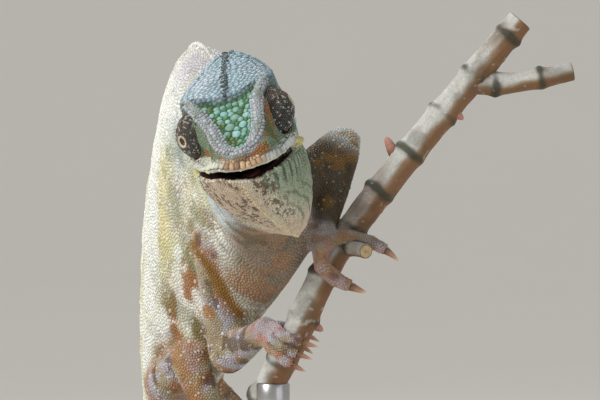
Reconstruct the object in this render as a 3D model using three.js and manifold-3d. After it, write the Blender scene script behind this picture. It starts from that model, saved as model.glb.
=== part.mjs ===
// A life-size panther chameleon climbing a cut length of branch, held by a plain display stand.
// Millimetres, +Z up. The origin is the middle of the stand's underside, and the animal faces -Y.
import * as THREE from "three";
import { mergeVertices } from "three/addons/utils/BufferGeometryUtils.js";
import Module from "manifold-3d";

const wasm = await Module();
wasm.setup();

// ---------------------------------------------------------------- driving dimensions
const GAP = 0.35; // clearance between neighbouring pieces
const HEAD_AT = [8, -60, 172]; // midpoint between the eyes; the body is laid out from here
const HEAD_TURN = { roll: -17.5, yaw: -6.5, pitch: 8 }; // degrees, about Y, Z and X
const EYE_SPREAD = 8; // each turret's centre, sideways from the midline
const TURRET_R = 5.9;
const EYE_R = 1.9;
const LID_R = 1.15; // opening between the fused lids
const GAZE = { left: [0.87, -0.15, 0.47], right: [-0.77, -0.6, -0.2] };
const TONGUE = { at: [1.6, -14.2, -9.1], size: [4.2, 4.6, 0.5] };
const BRANCH_R = 3.4;
const TOE_R = 1.6;
const TOE_STEP = 2.5; // from one toe to the next in a bundle
const CLAW_LENGTH = 3.2;
const TAIL_COIL = { centre: [-21, 82, -128], start: 17, end: 4.3, turns: 1.75, drift: 5 };
const BASE = { wide: 116, deep: 146, thick: 10, corner: 12, bevel: 1.2 };
const ROD_R = 2.5;

const COLOURS = {
  skin: 0xb9bfae,
  crown: 0x7f9f86,
  throat: 0xb5a58a,
  limb: 0xa08a72,
  turret: 0x4c4c48,
  eye: 0x1b120c,
  tongue: 0x8e4a44,
  bark: 0x9a8467,
  base: 0x3d2b1f,
  rod: 0x9b9da0,
};

// ---------------------------------------------------------------- vectors, curves and solids
const vec = (p) => new THREE.Vector3(p[0], p[1], p[2]);
const plus = (a, b, k = 1) => vec(a).addScaledVector(vec(b), k).toArray();
const curveOf = (points) => new THREE.CatmullRomCurve3(points.map(vec), false, "centripetal");
const valuesOf = (points) => new THREE.CatmullRomCurve3(points.map(vec), false, "catmullrom", 0.5);
const join = (solids) => solids.reduce((whole, part) => whole.add(part));
const cut = (solid, tools) => tools.reduce((left, tool) => left.subtract(tool), solid);

// Cutting can leave a sliver beside the piece that is meant.
const largest = (solid) => solid.decompose().sort((a, b) => b.volume() - a.volume())[0];

function solidOf(geometry) {
  const bare = new THREE.BufferGeometry().setAttribute("position", geometry.attributes.position);
  const merged = mergeVertices(bare.setIndex(geometry.index), 1e-3);
  return new wasm.Manifold(
    new wasm.Mesh({
      numProp: 3,
      vertProperties: merged.attributes.position.array,
      triVerts: new Uint32Array(merged.index ? merged.index.array : merged.attributes.position.count),
    }),
  );
}

function geometryOf(solid) {
  const mesh = solid.getMesh();
  const geometry = new THREE.BufferGeometry();
  geometry.setAttribute("position", new THREE.BufferAttribute(mesh.vertProperties, 3));
  geometry.setIndex(new THREE.BufferAttribute(mesh.triVerts, 1));
  geometry.computeVertexNormals();
  return geometry;
}

// A cylinder whose rings are laid out by place(t, angle, reach): t runs 0 to 1 along it, and reach is 0 at
// the middle of each end.
function wrapped(place, around, along) {
  const geometry = new THREE.CylinderGeometry(1, 1, 1, around, along);
  const position = geometry.attributes.position;
  for (let i = 0; i < position.count; i++) {
    const t = position.getY(i) + 0.5;
    const reach = Math.hypot(position.getX(i), position.getZ(i));
    const angle = Math.atan2(position.getX(i), position.getZ(i));
    position.setXYZ(i, ...place(t, angle, reach));
  }
  return solidOf(geometry);
}

// How far a rounded end reaches out at share t: a quarter circle over the first `part` of the line.
function roundness(t, part) {
  if (t >= part) return 1;
  const short = 1 - t / part;
  return Math.max(Math.sqrt(1 - short * short), 0.25);
}

// A fleshy tube along stations { at, up, size: [half width, half height, keel] }, between two places
// counted in stations. The keel narrows it towards its back, round draws its ends in, and grow fattens it
// to cut a clearance from a neighbour.
function fleshTube(stations, { from = 0, to, around = 16, along = 12, round = [0, 0], grow = 0 } = {}) {
  const last = stations.length - 1;
  const span = (to ?? last) - from;
  const centres = curveOf(stations.map((s) => s.at));
  const ups = valuesOf(stations.map((s) => s.up));
  const sizes = valuesOf(stations.map((s) => s.size));
  const place = (t, angle, reach) => {
    const share = (from + span * t) / last;
    const up = ups.getPoint(share).normalize();
    const side = centres.getTangent(share).cross(up).normalize();
    const size = sizes.getPoint(share);
    const inset = Math.min(roundness(t, round[0]), roundness(1 - t, round[1])) * reach;
    const c = Math.cos(angle);
    const s = Math.sin(angle);
    const width = Math.sign(s) * Math.pow(Math.abs(s), 1 + size.z * Math.max(c, 0)) * (size.x + grow);
    return centres
      .getPoint(share)
      .addScaledVector(side, width * inset)
      .addScaledVector(up, c * (size.y + grow) * inset)
      .toArray();
  };
  return wrapped(place, around, along);
}

// The point `past` radii outside joint a, on the line from joint b.
function beyond(a, b, past) {
  const way = vec(a).sub(vec(b)).normalize();
  return [...plus(a, way.toArray(), a[3] * past), a[3] * 0.9];
}

// A round tapered limb through joints [x, y, z, radius], its ends drawn out `past` radii beyond them.
function limb(joints, { around = 9, along = 5, grow = 0, past = 0.75, round = [0.2, 0.2] } = {}) {
  const [first, second] = joints;
  const [nextToLast, last] = joints.slice(-2);
  const drawnOut = [beyond(first, second, past), ...joints, beyond(last, nextToLast, past)];
  const line = past > 0 ? drawnOut : joints;
  const run = vec(line[line.length - 1]).sub(vec(line[0])).normalize();
  const lift = Math.abs(run.z) < 0.8 ? [0, 0, 1] : [0, -1, 0];
  const up = vec(lift).addScaledVector(run, -run.dot(vec(lift))).toArray();
  const stations = line.map(([x, y, z, r]) => ({ at: [x, y, z], up, size: [r, r, 0] }));
  return fleshTube(stations, { around, along, round, grow });
}

function ball(centre, radii, around = 14) {
  const geometry = new THREE.SphereGeometry(1, around, Math.round(around * 0.65));
  geometry.scale(...[radii, radii, radii].flat().slice(0, 3));
  geometry.translate(...centre);
  return solidOf(geometry);
}

// A straight round bar from a point, along a direction.
function bar(start, direction, length, radius, around = 16) {
  const geometry = new THREE.CylinderGeometry(radius, radius, length, around);
  const upright = new THREE.Vector3(0, 1, 0);
  geometry.translate(0, length / 2, 0);
  geometry.applyQuaternion(new THREE.Quaternion().setFromUnitVectors(upright, vec(direction).normalize()));
  geometry.translate(...start);
  return solidOf(geometry);
}

// ---------------------------------------------------------------- the head
// It is laid out in its own frame, +X its left and -Y its snout, and then turned.
const headMatrix = new THREE.Matrix4().makeRotationFromEuler(
  new THREE.Euler(
    THREE.MathUtils.degToRad(HEAD_TURN.pitch),
    THREE.MathUtils.degToRad(HEAD_TURN.roll),
    THREE.MathUtils.degToRad(HEAD_TURN.yaw),
    "YZX",
  ),
);
const turned = (solid) => solid.transform(headMatrix.toArray());
const headPoint = (p) => vec(p).applyMatrix4(headMatrix).toArray();

// From the snout back: the crown's middle, then the crest, cheek and lip as [sideways, height].
const SKULL = [
  { y: -21.4, top: -6.6, crest: [2.2, -6.7], cheek: [2.9, -7.3], lip: [2.2, -8.2] },
  { y: -20, top: -4.9, crest: [4.9, -4.9], cheek: [5.6, -6.7], lip: [5.2, -8.3] },
  { y: -16.5, top: -2.6, crest: [6.3, -2.0], cheek: [7.6, -5.6], lip: [8.0, -8.3] },
  { y: -10, top: 1.4, crest: [7.1, 2.2], cheek: [8.4, -4.2], lip: [10.4, -8.2] },
  { y: -3, top: 5.4, crest: [9.3, 6.0], cheek: [9.4, -2.4], lip: [11.9, -8.0] },
  { y: 4, top: 7.9, crest: [11.0, 7.4], cheek: [11.6, -2.0], lip: [12.3, -7.9] },
  { y: 11, top: 10.3, crest: [9.3, 9.1], cheek: [11.6, -0.5], lip: [10.2, -9.0] },
  { y: 18, top: 12.2, crest: [6.2, 11.2], cheek: [7.6, 3.5], lip: [5.2, -3.0] },
  { y: 24.5, top: 13.4, crest: [2.2, 13.0], cheek: [2.8, 11.2], lip: [1.6, 9.6] },
];
// The lower jaw and the pouch under it, from the chin back. It hangs over to the left as it deepens.
const JAW = [
  { y: -20.8, top: -10.1, wide: 2.0, bottom: -11.2, lean: 0 },
  { y: -19.2, top: -10.2, wide: 5.2, bottom: -12.9, lean: 0 },
  { y: -15, top: -9.9, wide: 8.6, bottom: -16.6, lean: 0.5 },
  { y: -9, top: -9.4, wide: 10.9, bottom: -20.6, lean: 1.3 },
  { y: -2, top: -8.9, wide: 12.1, bottom: -24.8, lean: 2.4 },
  { y: 5, top: -8.7, wide: 12.0, bottom: -28.6, lean: 3.4 },
  { y: 12, top: -9.6, wide: 10.4, bottom: -31.0, lean: 4 },
  { y: 18, top: -12.0, wide: 8.2, bottom: -31.2, lean: 4 },
];
const JAW_END = 3.9; // where the jaw gives way to the throat, counted in rows

// A closed outline from its right half, walked once round by share, and leaning sideways by lean(height).
function halfOutline(points, lean = () => 0) {
  const mirrored = points.slice(1, -1).reverse().map(([x, z]) => [-x, z]);
  const all = [...points, ...mirrored].map(([x, z]) => new THREE.Vector3(x + lean(z), 0, z));
  return new THREE.CatmullRomCurve3(all, true, "centripetal");
}

function skullOutline(row, grow) {
  const [crestX, crestZ] = row.crest;
  const dish = (crestZ - row.top) * 0.3;
  return halfOutline([
    [0, row.top + grow],
    [crestX * 0.55, row.top + dish + grow],
    [crestX + grow * 0.7, crestZ + grow * 0.7],
    [(crestX + row.cheek[0]) / 2 - 0.2 + grow, crestZ * 0.62 + row.cheek[1] * 0.38],
    [row.cheek[0] + grow, row.cheek[1]],
    [row.lip[0] + grow, row.lip[1] - grow],
    [0, row.lip[1] + 0.2 - grow],
  ]);
}

function jawOutline(row, grow) {
  const deep = row.top - row.bottom;
  const right = [
    [0, row.top - 0.3 + grow],
    [row.wide + grow, row.top + grow],
    [row.wide * 0.97 + grow, row.top - deep * 0.3],
    [row.wide * 0.62 + grow, row.top - deep * 0.72],
    [0, row.bottom - grow],
  ];
  return halfOutline(right, (z) => (row.lean * (row.top - z)) / deep);
}

// Carries each named value of the rows smoothly from one row to the next.
function between(rows, place) {
  const i = Math.min(Math.floor(place), rows.length - 2);
  const t = place - i;
  const near = [i - 1, i, i + 1, i + 2].map((k) => rows[THREE.MathUtils.clamp(k, 0, rows.length - 1)]);
  const ease = (a, b, c, d) => {
    const square = 2 * a - 5 * b + 4 * c - d;
    const cube = 3 * (b - c) + d - a;
    return b + 0.5 * t * (c - a + t * (square + t * cube));
  };
  const mix = (values) => {
    if (!Array.isArray(values[0])) return ease(...values);
    return values[0].map((_, k) => ease(...values.map((v) => v[k])));
  };
  return Object.fromEntries(Object.keys(rows[0]).map((key) => [key, mix(near.map((row) => row[key]))]));
}

function headLoft(rows, outline, { from = 0, to = rows.length - 1, around, along, grow = 0 }) {
  const rings = new Map();
  const ringAt = (place) => {
    if (!rings.has(place)) {
      const row = between(rows, place);
      rings.set(place, { y: row.y, curve: outline(row, grow) });
    }
    return rings.get(place);
  };
  const place = (t, angle, reach) => {
    const { y, curve } = ringAt(from + (to - from) * t);
    const rim = curve.getPoint((angle / (2 * Math.PI) + 1) % 1);
    const middle = curve.getPoint(0).add(curve.getPoint(0.5)).multiplyScalar(0.5);
    return [middle.x + (rim.x - middle.x) * reach, y, middle.z + (rim.z - middle.z) * reach];
  };
  return wrapped(place, around, along);
}

const skullSolid = (grow = 0) => {
  return turned(headLoft(SKULL, skullOutline, { around: 20, along: 13, grow }));
};
const jawSolid = (grow = 0) => {
  return turned(headLoft(JAW, jawOutline, { to: JAW_END, around: 16, along: 7, grow }));
};
const throatSolid = (grow = 0) => {
  const from = JAW_END + 0.06 - grow / 7;
  return turned(headLoft(JAW, jawOutline, { from, around: 16, along: 4, grow }));
};

// ---------------------------------------------------------------- the body, from the nape to the tail's tip
const TRUNK = [
  { back: [-0.3, 8, 1.5], belly: [7.3, 10.7, -24], wide: 9.6, keel: 0.1 },
  { back: [-1.8, 26.3, 6.5], belly: [6.4, 25.6, -28], wide: 10.4, keel: 0.2 },
  { back: [-8.4, 49.5, 19.6], belly: [11, 38.6, -35.5], wide: 12.2, keel: 0.3 },
  { back: [-14.4, 76, 18.4], belly: [6.5, 50, -43], wide: 13.2, keel: 0.35 },
  { back: [-20, 98.4, -9.2], belly: [0.5, 62, -50], wide: 12.9, keel: 0.35 },
  { back: [-21.6, 106, -38], belly: [-6, 74, -58], wide: 11.4, keel: 0.3 },
  { back: [-21.8, 106, -59], belly: [-11, 84, -67], wide: 9.4, keel: 0.2 },
  { back: [-20.8, 105.4, -75.6], belly: [-15, 89.6, -78], wide: 7.2, keel: 0.1 },
  { back: [-20.4, 105.5, -91], belly: [-17, 93.5, -92], wide: 5.6, keel: 0 },
  { back: [-21.4, 105.2, -107], belly: [-19.6, 94.6, -107], wide: 4.7, keel: 0 },
];

// A row of the trunk as a station of a fleshy tube.
function trunkStation({ back, belly, wide, keel }) {
  const up = vec(back).sub(vec(belly));
  const half = up.length() / 2;
  const at = vec(back).add(vec(belly)).multiplyScalar(0.5).toArray();
  return { at, up: up.normalize().toArray(), size: [wide, half, keel] };
}

// The tail coils forwards in a flat spiral that tightens to its tip.
function coilStations() {
  const { centre, start, end, turns, drift } = TAIL_COIL;
  const steps = 21;
  return Array.from({ length: steps + 1 }, (_, k) => {
    const share = k / steps;
    const angle = share * turns * 2 * Math.PI;
    const reach = start + (end - start) * Math.pow(share, 0.9);
    const outward = [0, Math.cos(angle), -Math.sin(angle)];
    const r = 4.6 - 3.3 * share;
    const at = plus(plus(centre, outward, reach), [-drift * share, 0, 0]);
    return { at, up: outward, size: [r * 0.88, r, 0] };
  });
}

const BODY = [...TRUNK.map(trunkStation), ...coilStations()];
const BODY_LINE = curveOf(BODY.map((s) => s.at));
const BODY_END = BODY.length - 1;
// The lengths the body is parted into, from one place to another counted in stations.
const LENGTHS = {
  neck: { from: 0, to: 1.45, around: 18, along: 5 },
  trunk_front: { from: 1.45, to: 3.5, around: 18, along: 7 },
  trunk_rear: { from: 3.5, to: 7.2, around: 18, along: 8 },
  tail_base: { from: 7.2, to: 12.4, around: 12, along: 8 },
  tail_middle: { from: 12.4, to: 20, around: 9, along: 12 },
  tail_tip: { from: 20, to: BODY_END, around: 7, along: 15, round: [0, 0.05] },
};

// One of those lengths, with half the gap left at each seam.
function bodyLength(name, grow = 0) {
  const { from, to, ...shape } = LENGTHS[name];
  const speed = (place) => {
    const [a, b] = [place - 0.02, place + 0.02].map((step) => THREE.MathUtils.clamp(step / BODY_END, 0, 1));
    return BODY_LINE.getPoint(a).distanceTo(BODY_LINE.getPoint(b)) / ((b - a) * BODY_END);
  };
  const inset = GAP / 2 - grow;
  const start = from > 0 ? from + inset / speed(from) : 0;
  const stop = to < BODY_END ? to - inset / speed(to) : BODY_END;
  return fleshTube(BODY, { ...shape, from: start, to: stop, grow });
}

// ---------------------------------------------------------------- the perch: joints as [x, y, z, radius]
const BRANCH = [
  [-13.5, 77, -109, 3.9],
  [-6.2, 67.6, -92.2, 3.8],
  [2.2, 55.8, -72.2, 3.6],
  [12.6, 42.8, -51.6, 3.5],
  [23.5, 43.2, -29.4, 3.4],
  [42.5, 45, -4.4, 3.4],
  [56, 46, 12, 3.3],
  [67.4, 45, 25.6, 3],
];
const TWIG = [[55, 46, 10.8, 2.7], [63, 46, 10.6, 2.5], [72, 46, 11.8, 2.3], [80, 46, 13.6, 2.2]];
const STALK = { at: [25, 41.5, -28], way: [0.42, -0.9, -0.12], length: 12, radius: 1.9 };
const BUDS = [
  { at: [37.4, 45, -6.6], way: [-0.45, 0, 0.9] },
  { at: [50, 45.6, 5], way: [0.75, -0.2, -0.6] },
  { at: [16, 44, -46], way: [0.8, -0.1, -0.5] },
];
const branchLine = curveOf(BRANCH);

function branchSolid(grow = 0) {
  const buds = BUDS.map(({ at, way }) => bar(plus(at, way, -2), way, 7 + grow, 1.4 + grow, 6));
  const stalk = bar(STALK.at, STALK.way, STALK.length + grow, STALK.radius + grow, 7);
  const stem = limb(BRANCH, { around: 9, along: 12, past: 0, round: [0, 0], grow });
  const twig = limb(TWIG, { around: 8, along: 3, past: 0, round: [0, 0], grow });
  return join([stem, twig, stalk, ...buds]);
}

// ---------------------------------------------------------------- limbs
const LIMBS = {
  arm_left: { root: [9.5, 45, -19, 6.8], bend: [25.6, 59, -2.4, 4.3], end: [20.4, 41, -24.5, 2.9] },
  arm_right: { root: [-4.6, 52.5, -25.6, 7.8], bend: [-3.2, 62.5, -55.4, 5], end: [4.8, 45, -49.4, 3.2] },
  leg_left: { root: [-12.5, 94.5, -65, 7], bend: [5.5, 94, -80, 4.3], end: [-3.6, 78.5, -91, 3] },
  leg_right: { root: [-19.5, 91, -64, 7], bend: [-12.6, 70, -56.6, 4.8], end: [-6.2, 65.5, -74.6, 3] },
};

const towards = (a, b, share, radius) => [...plus(a, vec(b).sub(vec(a)).toArray(), share), radius];
const upperLimb = ({ root, bend }, grow = 0) => {
  const joints = [root, towards(root, bend, 0.45, 5.7), bend];
  return limb(joints, { grow, past: 0.5, round: [0.4, 0.2] });
};
const lowerLimb = ({ bend, end }, grow = 0) => {
  return limb([bend, towards(bend, end, 0.3, 4.5), end], { grow, past: 0.6 });
};

// ---------------------------------------------------------------- feet
// Each foot's palm rests on the branch on the side `palm`. Its two bundles of toes, the first inside and the
// second outside, curl round opposite sides, or reach through the points given for them.
const FEET = {
  hand_left: {
    limb: "arm_left",
    toes: [3, 2],
    palmAt: [20.2, 38.6, -27.4],
    across: [0.1, 1, 0],
    paths: [
      [[19.2, 38, -28.6], [19.2, 37, -32], [21.6, 36.4, -35.2], [24.4, 36.4, -36.8], [26.6, 36.8, -37.8]],
      [[21.4, 38, -26.4], [25.4, 37, -26], [29.4, 36.6, -26.8], [32.6, 36.6, -27.8], [34.8, 36.8, -29.2]],
    ],
  },
  hand_right: { limb: "arm_right", toes: [3, 2], at: 0.43, palm: [-0.9, 0, 0.4], curl: 1.9, reach: 10.5 },
  foot_left: { limb: "leg_left", toes: [2, 3], at: 0.125, palm: [0.35, 0.85, 0.4], curl: 1.9, reach: 11 },
  foot_right: { limb: "leg_right", toes: [2, 3], at: 0.255, palm: [-0.85, 0.75, 0.3], curl: 1.9, reach: 11 },
};

// The middle line of a bundle that leaves the palm along the branch's side and curls round it.
function curledPath({ centre, out, round }, way, curl, reach) {
  const radius = reach / curl;
  const start = BRANCH_R + TOE_R + 0.45;
  return [0, 0.25, 0.5, 0.75, 1].map((share) =>
    centre
      .clone()
      .addScaledVector(round, way * (1.2 + radius * Math.sin(curl * share)))
      .addScaledVector(out, start - radius * (1 - Math.cos(curl * share)))
      .toArray(),
  );
}

// Where a foot's palm lies, which way its toes stand side by side, and the middle line of each bundle.
function footPlan(foot) {
  if (foot.paths) {
    return { palm: foot.palmAt, across: vec(foot.across).normalize(), paths: foot.paths };
  }
  const centre = branchLine.getPoint(foot.at);
  const across = branchLine.getTangent(foot.at);
  const out = vec(foot.palm);
  out.addScaledVector(across, -out.dot(across)).normalize();
  const round = new THREE.Vector3().crossVectors(across, out);
  const frame = { centre, out, round };
  return {
    palm: centre.clone().addScaledVector(out, BRANCH_R + 2.9).toArray(),
    across,
    paths: [1, -1].map((way) => curledPath(frame, way, foot.curl, foot.reach)),
  };
}

// A toe's free end and its claw, which bends on past it to a blunt point.
function toeSolid(path, grow) {
  const [earlier, before, tip] = path.slice(-3).map(vec);
  const heading = tip.clone().sub(before).normalize();
  const bend = heading.clone().sub(before.clone().sub(earlier).normalize());
  const claw = (share, radius) => {
    const at = tip.clone().addScaledVector(heading, 0.8 + CLAW_LENGTH * share);
    at.addScaledVector(bend, CLAW_LENGTH * share * share * 0.6);
    return [...at, radius];
  };
  const toe = [[...before, TOE_R], [...tip, TOE_R - 0.15]];
  const joints = [...toe, claw(0, 0.8), claw(0.5, 0.65), claw(1, 0.34)];
  return limb(joints, { around: 5, along: 4, past: 0, round: [0, 0], grow });
}

// The fleshy part of a bundle, whose toes part only towards their tips.
function mitten(path, across, wide, grow) {
  const line = curveOf(path);
  const stations = path.map((at, i) => {
    const up = across.clone().cross(line.getTangent(i / (path.length - 1))).normalize();
    return { at, up: up.toArray(), size: [wide, TOE_R + 0.2, 0] };
  });
  return fleshTube(stations, { around: 8, along: 3, round: [0, 0.3], grow });
}

function footSolid(foot, grow = 0) {
  const { palm, across, paths } = footPlan(foot);
  const wrist = LIMBS[foot.limb].end;
  const solids = [limb([[...palm, 3.7], wrist], { grow, along: 3, around: 8 })];
  paths.forEach((path, side) => {
    const toes = foot.toes[side];
    solids.push(mitten(path, across, (toes / 2) * TOE_STEP, grow));
    for (let k = 0; k < toes; k++) {
      const step = (k - (toes - 1) / 2) * TOE_STEP;
      const splayed = path.slice(2).map((p, i) => plus(p, across.toArray(), step * (0.95 + 0.12 * i)));
      solids.push(toeSolid(splayed, grow));
    }
  });
  return join(solids);
}

// ---------------------------------------------------------------- assembly
const model = new THREE.Group();
const animal = new THREE.Group();
animal.position.set(...HEAD_AT);
model.add(animal);

function add(name, solid, colour, { parent = animal, roughness = 0.7 } = {}) {
  const material = new THREE.MeshStandardMaterial({ color: colour, roughness, metalness: 0 });
  const mesh = new THREE.Mesh(geometryOf(solid), material);
  mesh.name = name;
  parent.add(mesh);
}

// Each turret is a ball of lid, open only over the pupil and hollowed for the eye behind it.
function addEye(side) {
  const gaze = vec(GAZE[side]).normalize().toArray();
  const centre = headPoint([side === "left" ? EYE_SPREAD : -EYE_SPREAD, 0, 0]);
  const eyeAt = plus(centre, gaze, TURRET_R - EYE_R - 0.35);
  const hollow = [ball(eyeAt, EYE_R + GAP, 8), bar(eyeAt, gaze, 4, LID_R, 8)];
  add("eye_turret_" + side, cut(ball(centre, TURRET_R, 13), hollow), COLOURS.turret);
  add("eye_" + side, ball(eyeAt, EYE_R, 8), COLOURS.eye, { roughness: 0.15 });
  return ball(centre, TURRET_R + GAP, 11);
}

function addHead() {
  const sockets = [addEye("left"), addEye("right")];
  const tongueSize = TONGUE.size.map((r) => r + GAP);
  add("head", cut(skullSolid(), sockets), COLOURS.crown);
  add("tongue", turned(ball(TONGUE.at, TONGUE.size, 9)), COLOURS.tongue);
  add("lower_jaw", cut(jawSolid(), [...sockets, turned(ball(TONGUE.at, tongueSize, 9))]), COLOURS.throat);
  add("throat", largest(cut(throatSolid(), [skullSolid(GAP), ...sockets])), COLOURS.throat);
  const room = [skullSolid(GAP), throatSolid(GAP), jawSolid(GAP), ...sockets];
  add("neck", largest(cut(bodyLength("neck"), room)), COLOURS.throat);
  return room;
}

function addTrunkAndTail() {
  for (const name of Object.keys(LENGTHS).slice(1)) add(name, bodyLength(name), COLOURS.skin);
}

// The upper limb is cut clear of the body, the lower limb of both, and the foot of all three and the branch.
function addLimb(names, foot, body, branch) {
  const joints = LIMBS[FEET[foot].limb];
  add(names[0], largest(cut(upperLimb(joints), body)), COLOURS.limb);
  add(names[1], largest(cut(lowerLimb(joints), [upperLimb(joints, GAP), ...body, branch])), COLOURS.limb);
  const room = [upperLimb(joints, GAP), lowerLimb(joints, GAP), ...body, branch];
  add(foot, largest(cut(footSolid(FEET[foot]), room)), COLOURS.limb);
}

function addStand() {
  const { wide, deep, thick, corner, bevel } = BASE;
  const x = wide / 2 - bevel - corner;
  const y = deep / 2 - bevel - corner;
  const outline = new THREE.Shape();
  outline.absarc(x, y, corner, 0, Math.PI / 2, false);
  outline.absarc(-x, y, corner, Math.PI / 2, Math.PI, false);
  outline.absarc(-x, -y, corner, Math.PI, Math.PI * 1.5, false);
  outline.absarc(x, -y, corner, Math.PI * 1.5, Math.PI * 2, false);
  const plate = new THREE.ExtrudeGeometry(outline, {
    depth: thick - 2 * bevel,
    bevelThickness: bevel,
    bevelSize: bevel,
    bevelSegments: 1,
    curveSegments: 3,
  });
  plate.translate(0, 0, bevel);
  add("stand_base", solidOf(plate), COLOURS.base, { parent: model, roughness: 0.4 });

  const held = branchLine.getPoint(0.37).add(vec(HEAD_AT));
  const foot = [held.x, held.y, thick + GAP];
  const rod = bar(foot, [0, 0, 1], held.z - foot[2], ROD_R, 12);
  const collar = bar(foot, [0, 0, 1], 6, ROD_R * 2, 12);
  const cradle = bar([held.x, held.y, held.z - 9], [0, 0, 1], 8, ROD_R * 1.6, 12);
  const post = largest(cut(join([rod, collar, cradle]), [branchSolid(GAP).translate(HEAD_AT)]));
  add("stand_rod", post, COLOURS.rod, { parent: model, roughness: 0.3 });
}

const headRoom = addHead();
addTrunkAndTail();
const branch = branchSolid(GAP);
const trunkRoom = ["neck", "trunk_front", "trunk_rear", "tail_base"].map((name) => bodyLength(name, GAP));
addLimb(["upper_arm_left", "forearm_left"], "hand_left", [...trunkRoom, ...headRoom], branch);
addLimb(["upper_arm_right", "forearm_right"], "hand_right", [...trunkRoom, ...headRoom], branch);
addLimb(["thigh_left", "shin_left"], "foot_left", trunkRoom, branch);
addLimb(["thigh_right", "shin_right"], "foot_right", trunkRoom, branch);
add("perch_branch", branchSolid(), COLOURS.bark, { roughness: 0.85 });
addStand();

export default model;
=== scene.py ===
"""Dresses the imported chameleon: one scaly skin over its flesh, eyes, claws, perch, stand and studio."""

import math

import bpy
import numpy as np
from mathutils import Matrix, Vector
from mathutils.bvhtree import BVHTree
from mathutils.kdtree import KDTree


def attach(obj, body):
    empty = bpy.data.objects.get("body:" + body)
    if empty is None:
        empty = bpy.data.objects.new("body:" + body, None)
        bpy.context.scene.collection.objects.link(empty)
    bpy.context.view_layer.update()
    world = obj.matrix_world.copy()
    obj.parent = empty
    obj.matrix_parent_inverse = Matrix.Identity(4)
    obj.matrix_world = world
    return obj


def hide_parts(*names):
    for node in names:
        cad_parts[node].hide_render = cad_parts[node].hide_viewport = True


bl_info = {
    "name": "Chameleon on a perch",
    "version": (1, 0, 0),
    "blender": (4, 5, 0),
    "location": "View3D > Sidebar > Chameleon",
    "description": "Builds the skin, scales, eyes, claws, perch and stand of a museum chameleon",
    "category": "Object",
}

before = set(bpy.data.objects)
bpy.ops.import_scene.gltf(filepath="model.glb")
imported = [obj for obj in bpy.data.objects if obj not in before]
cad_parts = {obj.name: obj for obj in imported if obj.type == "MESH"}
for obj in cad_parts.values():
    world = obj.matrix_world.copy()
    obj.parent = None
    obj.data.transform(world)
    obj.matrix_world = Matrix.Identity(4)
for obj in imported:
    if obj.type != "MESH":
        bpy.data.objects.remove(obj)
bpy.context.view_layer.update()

# ------------------------------------------------------------ places, in millimetres from between the eyes
MM = 0.001
HEAD_AT = np.array((8.0, -60.0, 172.0))
HEAD_TURN = {"roll": -17.5, "yaw": -6.5, "pitch": 8.0}
EYE_SPREAD = 8.0
TURRET_R = 5.9
GAZE = {"left": (0.87, -0.15, 0.47), "right": (-0.73, -0.6, -0.33)}
BRANCH_R = 3.4
TOE_R = 1.6
TOE_STEP = 2.5
CLAW_LENGTH = 3.2

# The skull from the snout back: y, height of the crown, half width at the lip.
SKULL = np.array((
    (-21.4, -6.6, 2.2),
    (-20.0, -4.9, 5.2),
    (-16.5, -2.6, 8.0),
    (-10.0, 1.4, 10.4),
    (-3.0, 5.4, 11.9),
    (4.0, 7.9, 12.3),
    (11.0, 10.3, 10.2),
    (18.0, 12.2, 5.2),
    (24.5, 13.4, 1.6),
))
# The jaw and pouch from the chin back: y, half width, bottom, lean.
JAW = np.array((
    (-20.8, 2.0, -11.2, 0.0),
    (-19.2, 5.2, -12.9, 0.0),
    (-15.0, 8.6, -16.6, 0.5),
    (-9.0, 10.9, -20.6, 1.3),
    (-2.0, 12.1, -24.8, 2.4),
    (5.0, 12.0, -28.6, 3.4),
    (12.0, 10.4, -31.0, 4.0),
    (18.0, 8.2, -31.2, 4.0),
))
# The crest round the crown from the casque's peak to the snout: y, half width, height.
CREST_SIDE = np.array((
    (24.5, 2.2, 13.0),
    (18.0, 6.2, 11.2),
    (11.0, 9.2, 9.1),
    (4.0, 10.4, 7.4),
    (0.5, 9.0, 6.8),
    (-3.5, 7.5, 5.2),
    (-6.5, 6.5, 3.6),
    (-10.0, 5.6, 1.5),
    (-14.0, 4.8, -1.4),
    (-16.6, 3.7, -3.0),
    (-18.4, 2.0, -4.2),
    (-18.9, 0.0, -4.6),
))
# The body from the nape back: a point on the back, then one on the belly.
TRUNK = np.array((
    (-0.3, 8, 1.5, 7.3, 10.7, -24),
    (-1.8, 26.3, 6.5, 6.4, 25.6, -28),
    (-8.4, 49.5, 19.6, 11, 38.6, -35.5),
    (-14.4, 76, 18.4, 6.5, 50, -43),
    (-20, 98.4, -9.2, 0.5, 62, -50),
    (-21.6, 106, -38, -6, 74, -58),
    (-21.8, 106, -59, -11, 84, -67),
    (-20.8, 105.4, -75.6, -15, 89.6, -78),
    (-20.4, 105.5, -91, -17, 93.5, -92),
    (-21.4, 105.2, -107, -19.6, 94.6, -107),
))
TAIL_COIL = {"centre": (-21, 82, -128), "start": 17, "end": 4.3, "turns": 1.75, "drift": 5}
LIMBS = {
    "arm_left": ((9.5, 45, -19), (25.6, 59, -2.4), (20.4, 41, -24.5)),
    "arm_right": ((-4.6, 52.5, -25.6), (-3.2, 62.5, -55.4), (4.8, 45, -49.4)),
    "leg_left": ((-12.5, 94.5, -65), (5.5, 94, -80), (-3.6, 78.5, -91)),
    "leg_right": ((-19.5, 91, -64), (-12.6, 70, -56.6), (-6.2, 65.5, -74.6)),
}
BRANCH = np.array((
    (-13.5, 77, -109, 3.9),
    (-6.2, 67.6, -92.2, 3.8),
    (2.2, 55.8, -72.2, 3.6),
    (12.6, 42.8, -51.6, 3.5),
    (23.5, 43.2, -29.4, 3.4),
    (42.5, 45, -4.4, 3.4),
    (56, 46, 12, 3.3),
    (67.4, 45, 25.6, 3),
))
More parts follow.
